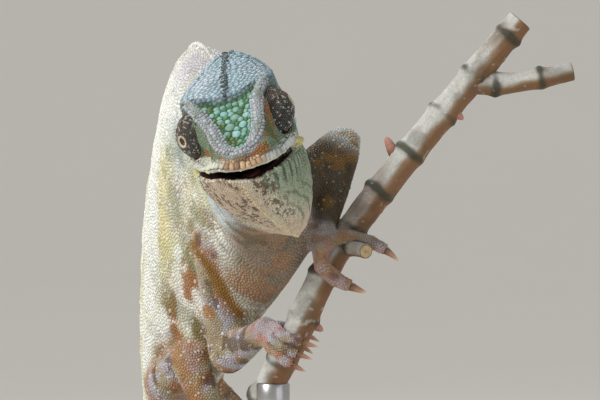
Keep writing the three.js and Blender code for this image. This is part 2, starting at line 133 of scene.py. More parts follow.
FEET = {
    "hand_left": {"toes": (3, 2), "across": (0.1, 1, 0), "paths": (
        ((19.2, 38, -28.6), (19.2, 37, -32), (21.6, 36.4, -35.2), (24.4, 36.4, -36.8), (26.6, 36.8, -37.8)),
        ((21.4, 38, -26.4), (25.4, 37, -26), (29.4, 36.6, -26.8), (32.6, 36.6, -27.8), (34.8, 36.8, -29.2)),
    )},
    "hand_right": {"toes": (3, 2), "at": 0.43, "palm": (-0.9, 0, 0.4), "curl": 1.9, "reach": 10.5},
    "foot_left": {"toes": (2, 3), "at": 0.125, "palm": (0.35, 0.85, 0.4), "curl": 1.9, "reach": 11},
    "foot_right": {"toes": (2, 3), "at": 0.255, "palm": (-0.85, 0.75, 0.3), "curl": 1.9, "reach": 11},
}
FOLD = np.array(((13.8, 43, -24.5), (3.7, 7, 9)))  # the middle and the half sizes of a fold of skin
FLESH = [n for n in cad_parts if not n.startswith(("eye", "tongue", "perch", "stand"))]


def unit(v):
    """Vectors drawn out or in to a length of one."""
    v = np.asarray(v, float)
    return v / np.maximum(np.linalg.norm(v, axis=-1, keepdims=True), 1e-9)


def head_matrix():
    """The turn from the head's frame to the animal's."""
    turn = {k: math.radians(v) for k, v in HEAD_TURN.items()}
    whole = Matrix.Rotation(turn["roll"], 3, "Y") @ Matrix.Rotation(turn["yaw"], 3, "Z")
    return np.array(whole @ Matrix.Rotation(turn["pitch"], 3, "X"))


HEAD = head_matrix()


def from_head(points):
    """Points or ways in the head's frame as the animal's."""
    return np.asarray(points, float) @ HEAD.T


def in_head(points):
    """The opposite: the animal's points or ways in the head's frame."""
    return np.asarray(points, float) @ HEAD


def snout_lean(y, z):
    """How far the top of the snout stands to the animal's left of the middle of its mouth."""
    return 1.4 * smoothstep(-2, -13, y) * smoothstep(-8.5, -4.5, z)


def from_even_head(local):
    """Points of the animal from places laid out on an even head: the snout leans."""
    out = np.array(local, float)
    out[:, 0] += snout_lean(out[:, 1], out[:, 2])
    return from_head(out)


def even_head(points):
    """The opposite: points of the animal as they would lie on an even head, in the head's frame."""
    local = in_head(points)
    local[:, 0] -= snout_lean(local[:, 1], local[:, 2])
    return local


def place(points):
    """Animal millimetres to the frame's metres."""
    return (np.asarray(points, float) + HEAD_AT) * MM


def read(items, name, width=1, kind=np.int32):
    """One property of all the items of a mesh, in rows where an item has several numbers."""
    values = np.empty(len(items) * width, kind)
    items.foreach_get(name, values)
    return values.reshape(-1, width) if width > 1 else values


def vertices_of(mesh):
    """A mesh's points in animal millimetres."""
    return read(mesh.vertices, "co", 3, np.float32).astype(float) / MM - HEAD_AT


def move_vertices(mesh, points):
    """Puts a mesh's vertices at points in animal millimetres."""
    mesh.vertices.foreach_set("co", place(points).astype(np.float32).ravel())
    mesh.update()


def smoothstep(low, high, x):
    """A smooth rise from 0 at low to 1 at high; a fall if low is the greater."""
    t = np.clip((x - low) / (high - low), 0, 1)
    return t * t * (3 - 2 * t)


def circle(count):
    """Angles spaced evenly round a whole turn."""
    return np.linspace(0, 2 * math.pi, count, endpoint=False)


def curve_points(points, shares):
    """Points at shares 0 to 1 of the centripetal curve through a list of points, and the way along it."""
    p = np.asarray(points, float)
    first, last = 2 * p[0] - p[1], 2 * p[-1] - p[-2]
    p = np.vstack((first, p, last))
    whole = np.clip(np.asarray(shares, float), 0, 1) * (len(p) - 3)
    i = np.minimum(whole.astype(int), len(p) - 4)
    t = (whole - i)[:, None]
    a, b, c, d = p[i], p[i + 1], p[i + 2], p[i + 3]
    gap = [np.linalg.norm(v[:, :3], axis=1)[:, None] ** 0.5 for v in (b - a, c - b, d - c)]
    gap = [np.maximum(g, 1e-4) for g in gap]
    out = ((b - a) / gap[0] - (c - a) / (gap[0] + gap[1]) + (c - b) / gap[1]) * gap[1]
    into = ((c - b) / gap[1] - (d - b) / (gap[1] + gap[2]) + (d - c) / gap[2]) * gap[1]
    square, cube = -3 * b + 3 * c - 2 * out - into, 2 * b - 2 * c + out + into
    at = b + t * (out + t * (square + t * cube))
    way = out + t * (2 * square + 3 * t * cube)
    return at, unit(way[:, :3])


def curve(points, count):
    """So many points of the curve through a list of points."""
    return curve_points(points, np.linspace(0, 1, count))[0]


def run_of(line):
    """How far along a line of points each of them lies."""
    return np.concatenate(((0,), np.cumsum(np.linalg.norm(np.diff(line, axis=0), axis=1))))


def noise(points, size, seed=0):
    """Smooth noise from 0 to 1, with bumps about `size` millimetres across."""
    q = np.asarray(points, float) / size + 31.7 * (seed + 1)
    base = np.floor(q).astype(np.int64)
    f = q - base
    f = f * f * (3 - 2 * f)
    total = np.zeros(len(q))
    for corner in range(8):
        step = np.array((corner & 1, corner >> 1 & 1, corner >> 2 & 1))
        cell = base + step
        key = (cell[:, 0] * 73856093) ^ (cell[:, 1] * 19349663) ^ (cell[:, 2] * 83492791)
        key = (key ^ (key >> 13)) * 1274126177 & 0x7FFFFFFF
        weight = np.prod(np.where(step, f, 1 - f), axis=1)
        total += weight * (key % 100003) / 100003.0
    return total


def mottle(points, size, seed=0):
    """Noise with finer noise on it."""
    return (noise(points, size, seed) * 0.6 + noise(points, size / 2.1, seed + 5) * 0.27
            + noise(points, size / 4.3, seed + 9) * 0.13)


# ---------------------------------------------------------------- meshes
def mesh_object(name, points, corners, starts, smooth=True):
    """An object from points in animal millimetres, the corners of its faces and where each face starts."""
    mesh = bpy.data.meshes.new(name)
    mesh.vertices.add(len(points))
    mesh.vertices.foreach_set("co", place(points).astype(np.float32).ravel())
    mesh.loops.add(len(corners))
    mesh.loops.foreach_set("vertex_index", np.asarray(corners, np.int32))
    mesh.polygons.add(len(starts))
    mesh.polygons.foreach_set("loop_start", np.asarray(starts, np.int32))
    mesh.update(calc_edges=True)
    mesh.polygons.foreach_set("use_smooth", np.full(len(starts), smooth))
    piece = bpy.data.objects.new(name, mesh)
    bpy.context.scene.collection.objects.link(piece)
    return piece


def paint_points(piece, colours):
    """Gives each point of a piece its colour."""
    mesh = piece.data
    attribute = mesh.attributes.new("Paint", "FLOAT_COLOR", "POINT")
    rgba = np.ones((len(mesh.vertices), 4), np.float32)
    rgba[:, :3] = colours
    attribute.data.foreach_set("color", rgba.ravel())


def settle(piece, material, replaced=()):
    """Gives a finished piece its material, its body and the solids that it stands for."""
    piece.data.materials.append(material)
    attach(piece, "root")
    if replaced:
        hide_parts(*replaced)
    return piece


def edges_of(mesh):
    """The two vertices of each of a mesh's edges."""
    return read(mesh.edges, "vertices", 2)


def spread(values, pairs, times, pull=0.5, limit=None):
    """Averages values over a mesh's edges, times over; limit gives each vertex its own number of times."""
    out = np.array(values, float)
    flat = out.reshape(len(out), -1)
    count = np.bincount(pairs.ravel(), minlength=len(out)).astype(float)
    count = np.maximum(count, 1)[:, None]
    both = np.concatenate((pairs, pairs[:, ::-1]))
    order = np.argsort(both[:, 0], kind="stable")
    both = both[order]
    starts = np.searchsorted(both[:, 0], np.arange(len(out)))
    for turn in range(times):
        total = np.add.reduceat(flat[both[:, 1]], starts, axis=0)
        step = pull * (total / count - flat)
        if limit is not None:
            step *= np.clip(limit - turn, 0, 1)[:, None]
        flat += step
    return flat.reshape(out.shape)


# ---------------------------------------------------------------- the skin
# How far each length is smoothed, in millimetres.
SOFTNESS = {
    "head": 1.0, "lower_jaw": 1.1, "throat": 1.5, "neck": 2.6, "trunk_front": 3.0, "trunk_rear": 3.0,
    "tail_base": 1.8, "tail_middle": 1.1, "tail_tip": 0.8, "upper_arm": 1.7, "forearm": 1.3, "thigh": 1.7,
    "shin": 1.3, "hand": 0.6, "foot": 0.6,
}
VOXEL = 0.65
BRIDGE = 0.26  # closes the narrow cuts between the solids
COIL_IN = 0.3  # keeps the turns of the tail's coil apart
COIL_TOP = -110  # the turns lie below this height
COIL_LIE = -108  # the scales follow the coil from this height down


def softness(node):
    """How far a solid is smoothed, whichever side it is on."""
    return SOFTNESS.get(node) or SOFTNESS[node.rsplit("_", 1)[0]]


def flesh_parts():
    """Each flesh node's welded points and triangles."""
    parts = {}
    for name in FLESH:
        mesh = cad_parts[name].data
        mesh.calc_loop_triangles()
        points = vertices_of(mesh)
        _, first, same = np.unique(np.round(points / 0.002), axis=0, return_index=True, return_inverse=True)
        tri = same.ravel()[read(mesh.loop_triangles, "vertices", 3)]
        tri = tri[(tri[:, 0] != tri[:, 1]) & (tri[:, 1] != tri[:, 2]) & (tri[:, 0] != tri[:, 2])]
        parts[name] = (points[first], tri)
    return parts


def corner_normals(points, tri):
    """The way out at each point of a mesh of triangles, weighted by their areas."""
    a, b, c = (points[tri[:, k]] for k in range(3))
    normal = np.zeros_like(points)
    for k in range(3):
        np.add.at(normal, tri[:, k], np.cross(b - a, c - a))
    return unit(normal)


def grown(points, tri):
    """A closed mesh pushed out to meet its neighbours, but drawn in all round where the tail is coiled."""
    normal = corner_normals(points, tri)
    way = unit(np.cross(points - TAIL_COIL["centre"], (1.0, 0, 0)))
    coiled = (points[:, 2] < COIL_TOP) & (np.abs(np.einsum("ij,ij->i", normal, way)) < 0.6)
    return points + normal * np.where(coiled, -COIL_IN, BRIDGE)[:, None]


def foot_plan(name):
    """Which way a foot's toes stand side by side, and the middle line of each bundle."""
    foot = FEET[name]
    if "paths" in foot:
        return unit(foot["across"]), [np.array(p, float) for p in foot["paths"]]
    at, way = curve_points(BRANCH, [foot["at"]])
    centre, across = at[0, :3], way[0]
    out = np.array(foot["palm"], float)
    out = unit(out - across * (out @ across))
    around = np.cross(across, out)
    radius = foot["reach"] / foot["curl"]
    start = BRANCH_R + TOE_R + 0.45
    paths = []
    for side in (1, -1):
        turn = foot["curl"] * np.linspace(0, 1, 5)[:, None]
        path = centre + around * side * (1.2 + radius * np.sin(turn))
        paths.append(path + out * (start - radius * (1 - np.cos(turn))))
    return across, paths


def toe_tips():
    """Every toe of every foot: its name, free end, heading and how it bends."""
    tips = []
    for name, foot in FEET.items():
        across, paths = foot_plan(name)
        for side, path in enumerate(paths):
            count = foot["toes"][side]
            for k in range(count):
                step = (k - (count - 1) / 2) * TOE_STEP
                line = [p + across * step * (0.95 + 0.12 * i) for i, p in enumerate(path[2:])]
                heading = unit(line[2] - line[1])
                bend = heading - unit(line[1] - line[0])
                tips.append((name, line[2], heading, bend))
    return tips


def toe_grooves(points):
    """1 in the creases between the toes of each bundle."""
    crease = np.zeros(len(points))
    for name, foot in FEET.items():
        across, paths = foot_plan(name)
        for path, count in zip(paths, foot["toes"]):
            for k in range(count - 1):
                step = (k + 1 - count / 2) * TOE_STEP
                line = curve([p + across * step * (0.95 + 0.12 * i) for i, p in enumerate(path[2:])], 12)
                far, i = distance_to(points, line)
                aside = np.abs((points - line[i]) @ across)
                crease = np.maximum(crease, smoothstep(2.6, 2.1, far) * smoothstep(0.7, 0.1, aside))
    return crease


def without_claws(name, points):
    """Draws a foot's claws back into the toes' blunt ends."""
    for foot, tip, heading, _ in toe_tips():
        if foot != name:
            continue
        offset = points - tip
        ahead = offset @ heading
        aside = np.linalg.norm(offset - ahead[:, None] * heading, axis=1)
        claw = (ahead > 0.45) & (ahead < 5) & (aside < 1.5 + 0.25 * ahead)
        points[claw] = tip + heading * 0.45 + (offset - ahead[:, None] * heading)[claw] * 0.6
    return points


def skin_fold():
    """Loose skin that fills the hollow between the chest and the left arm."""
    rows, around = 9, 14
    polar = np.linspace(0.02, math.pi - 0.02, rows)[:, None]
    turn = circle(around)
    flat, height = np.sin(polar), np.cos(polar) + 0 * turn
    ball = np.stack((flat * np.cos(turn), flat * np.sin(turn), height), axis=-1)
    at = np.arange(rows * around).reshape(rows, around)
    right = np.roll(at, -1, axis=1)
    tri = np.concatenate((np.stack((at[:-1], at[1:], right[:-1]), -1).reshape(-1, 3),
                          np.stack((right[:-1], at[1:], right[1:]), -1).reshape(-1, 3)))
    ends = [np.stack((np.full(around - 2, row[0]), *((row[1:-1], row[2:])[::sign])), -1)
            for row, sign in ((at[0], 1), (at[-1], -1))]
    return ball.reshape(-1, 3) * FOLD[1] + FOLD[0], np.concatenate((tri, *ends))


def stacked(parts):
    """The points and triangles of several meshes as one, and the index of each triangle's mesh."""
    starts = np.cumsum([0] + [len(points) for points, _ in parts])
    tri = np.vstack([own + start for (_, own), start in zip(parts, starts)])
    owner = np.repeat(np.arange(len(parts)), [len(own) for _, own in parts])
    return np.vstack([points for points, _ in parts]), tri, owner


def voxel_skin(parts):
    """One closed surface round all the flesh."""
    flesh = []
    for name, (points, tri) in parts.items():
        points = grown(points, tri)
        if name.startswith(("hand", "foot")):
            points = without_claws(name, points)
        flesh.append((points, tri))
    points, tri, _ = stacked(flesh)
    piece = mesh_object("skin", points, tri.ravel(), np.arange(len(tri)) * 3)
    remesh = piece.modifiers.new("whole", "REMESH")
    remesh.mode = "VOXEL"
    remesh.voxel_size = VOXEL * MM
    remesh.adaptivity = 0
    remesh.use_smooth_shade = True
    depsgraph = bpy.context.evaluated_depsgraph_get()
    mesh = bpy.data.meshes.new_from_object(piece.evaluated_get(depsgraph))
    piece.modifiers.clear()
    piece.data = mesh
    return piece


def nearest_nodes(points, parts):
    """The index in FLESH of the node nearest to each point."""
    vertices, tri, owner = stacked(list(parts.values()))
    tree = BVHTree.FromPolygons(vertices.tolist(), tri.tolist())
    return owner[[tree.find_nearest(p)[2] for p in points.tolist()]]


def vertex_normals(mesh):
    """The way out at each of a mesh's vertices."""
    return read(mesh.vertices, "normal", 3, np.float32).astype(float)


def crown_at(y):
    """The height of the crown at a place along the head."""
    return np.interp(y, SKULL[:, 0], SKULL[:, 1])


def lip_at(y):
    """Half the width of the upper lip at a place along the head."""
    return np.interp(y, SKULL[:, 0], SKULL[:, 2])


def jaw_at(y):
    """Half the width of the lower lip at a place along the head."""
    return np.interp(y, JAW[:, 0], JAW[:, 1])


def crest_line(count=140):
    """The ridge from one side of the casque, round the snout, to the other side, in the head's frame."""
    side = CREST_SIDE[:, (1, 0, 2)]
    line = np.vstack((side, side[-2::-1] * (-1, 1, 1)))
    return curve(line, count)


def crest_half(y):
    """Half the width between the crests at a place along the head."""
    return np.interp(y, CREST_SIDE[::-1, 0], CREST_SIDE[::-1, 1])


def casque_line(x):
    """How far back the crown gives way to the casque, at a place across the head."""
    return 0.03 * x * x - 1.6


def distance_to(points, line):
    """How far each point is from a line of points, and the index of the nearest of them."""
    best = np.full(len(points), 1e9)
    index = np.zeros(len(points), int)
    for i, p in enumerate(line):
        d = np.einsum("ij,ij->i", points - p, points - p)
        closer = d < best
        best[closer] = d[closer]
        index[closer] = i
    return np.sqrt(best), index


def jaw_line(y):
    """The height midway between the lips of the solids at a place along the head."""
    return np.interp(y, (-21, -15, -9, -2, 5, 12), (-9.25, -9.1, -8.8, -8.4, -8.2, -8.4))


def wide_gape(y):
    """How far the mouth is first opened, so that its lips come apart."""
    return np.interp(y, (-21, -17, -12, -6, -1.5, 1.0), (2.3, 2.4, 2.2, 1.7, 1.0, 0.0))


def mouth_middle(x, y):
    """The height midway between the lips: drawn up on the animal's right."""
    return jaw_line(y) + 1.7 * smoothstep(1.5, -6, x) * smoothstep(4, -3, y)


def mouth_gap(x, y):
    """How far the mouth is open: widest left of the middle, closed at the right corner."""
    open_by = np.interp(x, (-10.4, -8.5, -5, -1, 2, 5, 9.5, 12), (0.1, 0.3, 0.8, 1.2, 1.4, 1.3, 0.5, 0.0))
    return open_by * smoothstep(1.4, -1.5, y)


def mouth_depth(x, y, rise):
    """How far inside the lips a place lies, a rise above or below the line between them."""
    beside = np.where(rise > 0, lip_at(y), jaw_at(y)) - np.abs(x)
    return np.minimum(beside, y - np.where(rise > 0, SKULL[0, 0], JAW[0, 0]))


def corner_fold(local):
    """Distance from the fold at either corner of the mouth, 1 at its edge; the right one lies forward."""
    left = local[:, :1] > 0
    centre = np.where(left, (12.3, 0.4, -8.3), (-11.2, -2.6, -8.3))
    return np.linalg.norm((local - centre) / (1.6, 2.7, 1.5), axis=1)


def open_mouth(name, points, normals):
    """Sets the roof and floor of the mouth apart."""
    local = in_head(points)
    n = in_head(normals)
    ahead = local[:, 1] < 1.0
    middle, half = jaw_line(local[:, 1]), wide_gape(local[:, 1]) / 2
    if name == "head":
        roof = ahead & (n[:, 2] < -0.45) & (local[:, 2] < -7.2)
        local[roof, 2] = (middle + half)[roof]
    else:
        floor = ahead & (n[:, 2] > 0.45) & (local[:, 2] > -11)
        local[floor, 2] = (middle - half)[floor]
    return from_head(local)


def set_lips(points, mask):
    """Draws the lips from the wide gape to their own line."""
    local = in_head(points)
    x, y, z = local.T
    rise = z - jaw_line(y)
    wide, narrow = wide_gape(y) / 2, mouth_gap(x, y) / 2
    lift = mouth_middle(x, y) - jaw_line(y)
    above = (lift + narrow - wide + BRIDGE) * smoothstep(5.0, 0.6, rise - wide)
    below = (lift - narrow + wide - BRIDGE) * smoothstep(7.5, 0.6, -rise - wide)
    local[:, 2] += np.where(rise > 0, above, below) * smoothstep(4, 1, y) * smoothstep(0.2, 0.6, mask)
    return from_head(local)


def ridge(points, line, wide):
    """1 on a line and 0 beyond `wide` from it."""
    return smoothstep(wide, 0, distance_to(points, line)[0])


def gular_line(count=90):
    """The middle of the throat and chest from the chin back, in animal millimetres."""
    chin = from_head(JAW[:, (3, 0, 2)])
    line = np.vstack((chin[:-1], TRUNK[1:4, 3:]))
    return curve(line, count)


def back_line(count=160):
    """The crest of the back from the nape to the tail's coil."""
    return curve(TRUNK[:, :3], count)


def sculpt_head(points, normals, mask):
    """Crests, dished crown, socket rims, lips, nostrils and folds, as a push along the skin's normals."""
    local = in_head(points)
    out = np.zeros(len(points))
    near = mask > 0.02
    p = local[near]
    x, y, z = np.abs(p[:, 0]), p[:, 1], p[:, 2]
    crest_x = crest_half(y)
    up = in_head(normals[near])[:, 2]
    push = 0.6 * ridge(p, crest_line(), 2.2)
    inside = smoothstep(0.2, 2.2, crest_x - x) * smoothstep(0.2, 0.7, up)
    behind = y - casque_line(x)
    push -= 0.65 * inside * smoothstep(0.9, -1.2, behind)
    push += 0.3 * inside * smoothstep(-0.5, 1.0, behind) * smoothstep(14, 4, y)
    outside = smoothstep(crest_x + 0.9, crest_x + 2.2, x)
    push -= 0.8 * outside * smoothstep(0.1, 0.5, up) * smoothstep(1, -4, y)
    push += 0.55 * smoothstep(0.9, 0, x) * smoothstep(-0.4, 0.8, behind) * smoothstep(0.1, 0.6, up)
    for side in (1, -1):
        around = np.linalg.norm(p - (side * EYE_SPREAD, 0, 0), axis=1)
        push += 0.4 * smoothstep(1.2, 0, np.abs(around - 7.3)) * smoothstep(2, 6, x)
        nostril = np.linalg.norm(p - (side * 6.0, -18.0, -4.9), axis=1)
        push += 0.3 * smoothstep(1.9, 1.0, nostril) - 0.75 * smoothstep(1.0, 0.2, nostril)
    loreal = smoothstep(3.4, 0.8, np.linalg.norm((p[:, 1:] - (-11.0, -3.0)) / (1.6, 1), axis=1))
    push -= 0.45 * loreal * smoothstep(4, 7, x)
    lip = np.abs(z - mouth_middle(p[:, 0], y)) - mouth_gap(p[:, 0], y) / 2
    roll = smoothstep(1.0, 0.2, np.abs(lip - 0.35))
    push += 0.3 * roll * smoothstep(-3.0, 0, x - lip_at(y)) * smoothstep(4, 0, y)
    push += np.where(p[:, 0] > 0, 1.6, 0.5) * smoothstep(1.0, 0, corner_fold(p))
    ridge_z = -4.5 - 0.25 * (y - 8)
    temporal = smoothstep(1.0, 0, np.abs(z - ridge_z)) * smoothstep(4, 8, y) * smoothstep(6, 9, x)
    push += 0.35 * temporal
    out[near] = push * mask[near]
    return out


def free_turrets(points, mask):
    """Cuts the brow back to the crest, so that the top of each eye turret shows."""
    local = in_head(points)
    x, y, z = np.abs(local[:, 0]), local[:, 1], local[:, 2]
    beyond = smoothstep(0.8, 1.7, x - crest_half(y)) * smoothstep(0.3, 2.2, z)
    beyond *= smoothstep(-6.4, -4.6, y) * smoothstep(6.0, 3.5, y)
    for side in (1, -1):
        off = local - (side * EYE_SPREAD, 0, 0)
        far = np.linalg.norm(off, axis=1)
        pull = beyond * (far > 5.3) * smoothstep(9.4, 8.4, far) * (local[:, 0] * side > 0) * (mask > 0.3)
        local = local - off * (pull * (far - 5.3) / np.maximum(far, 1e-6))[:, None]
    return from_head(local)


def lean_snout(points, mask):
    """Moves the top of the snout to the animal's left."""
    local = in_head(points)
    local[:, 0] += snout_lean(local[:, 1], local[:, 2]) * smoothstep(0.2, 0.6, mask)
    return from_head(local)


def station_of(points, count=240):
    """Each point's share of the trunk's length, its share from belly (-1) to back (1), how far out to the
    animal's left it lies, and the way along the trunk there."""
    back, belly = curve(TRUNK[:, :3], count), curve(TRUNK[:, 3:], count)
    middle = (back + belly) / 2
    _, i = distance_to(points, middle)
    up = (back - belly)[i] / 2
    half = np.linalg.norm(up, axis=1)
    off = points - middle[i]
    along = unit(np.gradient(middle, axis=0))[i]
    side = unit(np.cross(up, along))
    share = np.linspace(0, 1, count)[i]
    return share, np.einsum("ij,ij->i", off, up) / half**2, np.einsum("ij,ij->i", off, side), along


def sculpt_body(points, body, throat):
    """Ribs, flank and neck folds, throat pleats and the keels of back and belly."""
    share, height, _, _ = station_of(points)
    wobble = noise(points, 9, 3) * 2.2
    ribs = np.sin(share * 150 + wobble) * smoothstep(0.15, 0.3, share) * smoothstep(0.72, 0.55, share)
    push = 0.12 * ribs * smoothstep(0.95, 0.5, np.abs(height)) * body
    folds = np.sin(share * 190 + 7 * noise(points, 10, 8)) * smoothstep(0.2, 0.05, share)
    push += 0.2 * folds * body * smoothstep(1.0, 0.3, np.abs(height)) * noise(points, 15, 2)
    local = in_head(points)
    pleat = np.sin(np.abs(local[:, 0]) * 1.6 + local[:, 2] + 6 * noise(points, 7, 4))
    push += 0.13 * pleat * throat * noise(points, 9, 12)
    push += 0.5 * (mottle(points, 14, 6) - 0.5) * body
    push += 0.5 * ridge(points, back_line(), 2.2) * body
    push += 0.45 * ridge(points, gular_line(), 1.6) * np.maximum(body, throat)
    return push


REGIONS = {
    "head": ("head",), "jaw": ("lower_jaw", "throat"), "neck": ("neck",),
    "trunk": ("trunk_front", "trunk_rear"), "tail": ("tail_base", "tail_middle", "tail_tip"),
}
LIMB_PARTS = {"arm": ("upper_arm", "forearm"), "leg": ("thigh", "shin"), "hand": ("hand",), "foot": ("foot",)}
REGIONS.update({
    limb + side: tuple(name + side for name in names)
    for limb, names in LIMB_PARTS.items() for side in ("_left", "_right")
})


def region_masks(nodes, pairs, times=14):
    """For each region a softened 0 to 1 share at every point of the skin."""
    masks = {}
    for region, members in REGIONS.items():
        own = np.isin(nodes, [FLESH.index(m) for m in members]).astype(float)
        masks[region] = spread(own, pairs, times)
    return masks


def joined(masks, *starts):
    """The share at each point of all the regions whose names start so."""
    return sum(m for r, m in masks.items() if r.startswith(starts))


def lie_of(points, nodes):
    """The way the scales lie at each point: back along the head and body, out along the limbs."""
    way = np.tile(from_head((0.0, 1.0, 0.25)), (len(points), 1))
    members = {m: r for r, names in REGIONS.items() for m in names}
    *_, along = station_of(points)
    body = np.isin(nodes, [i for i, n in enumerate(FLESH) if members[n] in ("neck", "trunk", "tail")])
    way[body] = along[body]
    coil = body & (points[:, 2] < COIL_LIE)
    centre = np.array(TAIL_COIL["centre"], float)
    way[coil] = unit(np.cross(points[coil] - centre, (1.0, 0, 0)))
    for limb, (root, bend, end) in LIMBS.items():
        foot = limb.replace("arm", "hand").replace("leg", "foot")
        for i, name in enumerate(FLESH):
            if members[name] == limb:
                a, b = (root, bend) if name.startswith(("upper", "thigh")) else (bend, end)
                way[nodes == i] = unit(np.subtract(b, a))
            if members[name] == foot:
                own = nodes == i
                way[own] = unit(points[own] - np.array(end, float))
    return way


class Hide:
    """The finished skin with what the scales and the paint need to know at each of its points."""

    def __init__(self, piece, nodes, masks):
        self.piece = piece
        self.points = vertices_of(piece.data)
        self.normals = vertex_normals(piece.data)
        self.masks = masks
        self.lie = lie_of(self.points, nodes)
        self.share, self.height, self.side, _ = station_of(self.points)
        self.local = even_head(self.points)
        self.throat = spread(masks["jaw"], edges_of(piece.data), 60)
        self.corner = read(piece.data.loops, "vertex_index")
        self.starts = read(piece.data.polygons, "loop_start")
        ends = [*self.starts[1:], len(self.corner)]
        polygons = [self.corner[a:b].tolist() for a, b in zip(self.starts, ends)]
        self.tree = BVHTree.FromPolygons(self.points.tolist(), polygons)

    def onto(self, points):
        """The nearest places on the skin, the faces they are on and the skin's way out there."""
        found = [self.tree.find_nearest(p) for p in points.tolist()]
        at = np.array([f[0][:] for f in found])
        face = np.array([f[2] for f in found])
        vertex = self.corner[self.starts[face]]
        return at, face, vertex, self.normals[vertex]


def build_skin(depth):
    """The skin over all the flesh, carved and drawn in by a depth, with its masks."""
    parts = flesh_parts()
    surfaces = {}
    for name, (own, tri) in parts.items():
        opened = open_mouth(name, own, corner_normals(own, tri)) if name in ("head", "lower_jaw") else own
        surfaces[name] = (opened, tri)
    surfaces["fold"] = skin_fold()
    piece = voxel_skin(surfaces)
    mesh = piece.data
    points = vertices_of(mesh)
    nodes = nearest_nodes(points, parts)
    pairs = edges_of(mesh)
    soft = spread(np.array([softness(n) for n in parts])[nodes], pairs, 12)
    times = (soft / (0.5 * VOXEL)) ** 2
    points = spread(points, pairs, int(times.max()) + 1, limit=times)
    masks = region_masks(nodes, pairs)
    points = set_lips(points, masks["head"] + masks["jaw"])
    move_vertices(mesh, points)
    normals = vertex_normals(mesh)
    push = sculpt_head(points, normals, np.minimum(masks["head"] + masks["jaw"], 1))
    push += sculpt_body(points, joined(masks, "neck", "trunk", "tail"), masks["jaw"])
    push -= 0.5 * toe_grooves(points)
    push -= depth * (1 - 0.4 * np.minimum(joined(masks, "hand", "foot") + masks["head"], 1))
    points += normals * push[:, None]
    move_vertices(mesh, lean_snout(free_turrets(points, masks["head"]), masks["head"]))
    return Hide(piece, nodes, masks)


# ---------------------------------------------------------------- where the scales lie
COMMON, CREST, PLATE, CASQUE, UPPER_LIP, LOWER_LIP, GULAR, DORSAL, PARIETAL, TUBERCLE = range(10)
TUBERCLE_SHARE = 0.045  # of the scales on trunk, tail and limbs
# The crown's large plates: x, y and half size.
PLATES = np.array((
    (-0.3, -13.4, 1.35), (-1.2, -10.6, 1.25), (1.6, -10.9, 1.1), (-3.0, -8.4, 1.0),
    (0.5, -8.2, 1.15), (3.1, -8.6, 0.95), (-1.4, -6.0, 1.05), (1.4, -5.7, 1.0),
    (4.0, -6.2, 0.85), (-4.2, -5.7, 0.9), (-2.6, -3.6, 0.85), (0.2, -3.4, 0.9),
    (3.0, -3.6, 0.85), (-5.3, -3.0, 0.75), (5.4, -3.4, 0.75), (1.7, -13.0, 0.85),
    (0.3, -15.6, 0.8), (-2.3, -12.6, 0.75),
))
# Half the distance between scales, and a scale's height as a share of that, by part of the body.
GRAIN = {
    "head": (0.33, 0.42), "jaw": (0.27, 0.42), "neck": (0.37, 0.4),
    "trunk": (0.46, 0.36), "tail": (0.42, 0.38),
    "arm": (0.36, 0.4), "leg": (0.38, 0.4), "hand": (0.28, 0.4), "foot": (0.29, 0.4),
}


def crown_share(local, normals_up):
    """1 on the dished crown between the crests, ahead of the casque."""
    x, y = local[:, 0], local[:, 1]
    inside = smoothstep(0.7, 1.7, crest_half(y) - np.abs(x)) * smoothstep(0.15, 0.5, normals_up)
    return inside * smoothstep(0.5, -0.3, y - casque_line(x)) * (y > -18)


def grain_of(hide):
    """Half the scale spacing and the scale height at every point of the skin."""
    total = sum(hide.masks.values())
    size, lift = (sum(m * GRAIN[r.split("_")[0]][k] for r, m in hide.masks.items()) / total for k in (0, 1))
    size *= 0.9 + 0.2 * noise(hide.points, 6, 21)
    size *= 1 - 0.25 * smoothstep(-105, -135, hide.points[:, 2]) * hide.masks["tail"]
    up = in_head(hide.normals)[:, 2]
    local, head = hide.local, hide.masks["head"]
    crown = crown_share(local, up) * head
    middle = smoothstep(1.5, 4.0, crest_half(local[:, 1]) - np.abs(local[:, 0]))
    casque = smoothstep(-0.5, 1.5, local[:, 1] - casque_line(local[:, 0])) * head * smoothstep(0, 0.3, up)
    size += crown * (0.2 + 0.25 * middle) + casque * (0.24 + 0.42 * noise(local, 4, 22))
    lift = lift * (1 - 0.68 * casque - 0.5 * crown)
    return size, lift


def along(line, step):
    """Points every `step` along a line of points."""
    run = run_of(line)
    at = np.arange(step / 2, run[-1], step)
    return np.column_stack([np.interp(at, run, line[:, k]) for k in range(3)])


def lip_line(first, half_width, above):
    """Round the mouth from corner to corner, this far above the upper lip's edge or below the lower one's."""
    y = np.linspace(0.4, first, 26)
    x = half_width(y)
    x, y = np.concatenate((x, -x[::-1])), np.concatenate((y, y[::-1]))
    edge = mouth_middle(x, y) + math.copysign(0.5, above) * mouth_gap(x, y)
    return np.column_stack((x, y, edge + above))


def offset_line(line, by):
    """A line in the head's frame moved outwards over its surface, away from the middle of the crown."""
    way = unit(np.gradient(line, axis=0))
    out = unit(np.cross(way, (0.0, 0.35, 1.0)))
    out *= np.sign(np.einsum("ij,ij->i", out, line - (0, 2, 0)))[:, None]
    return line + out * by


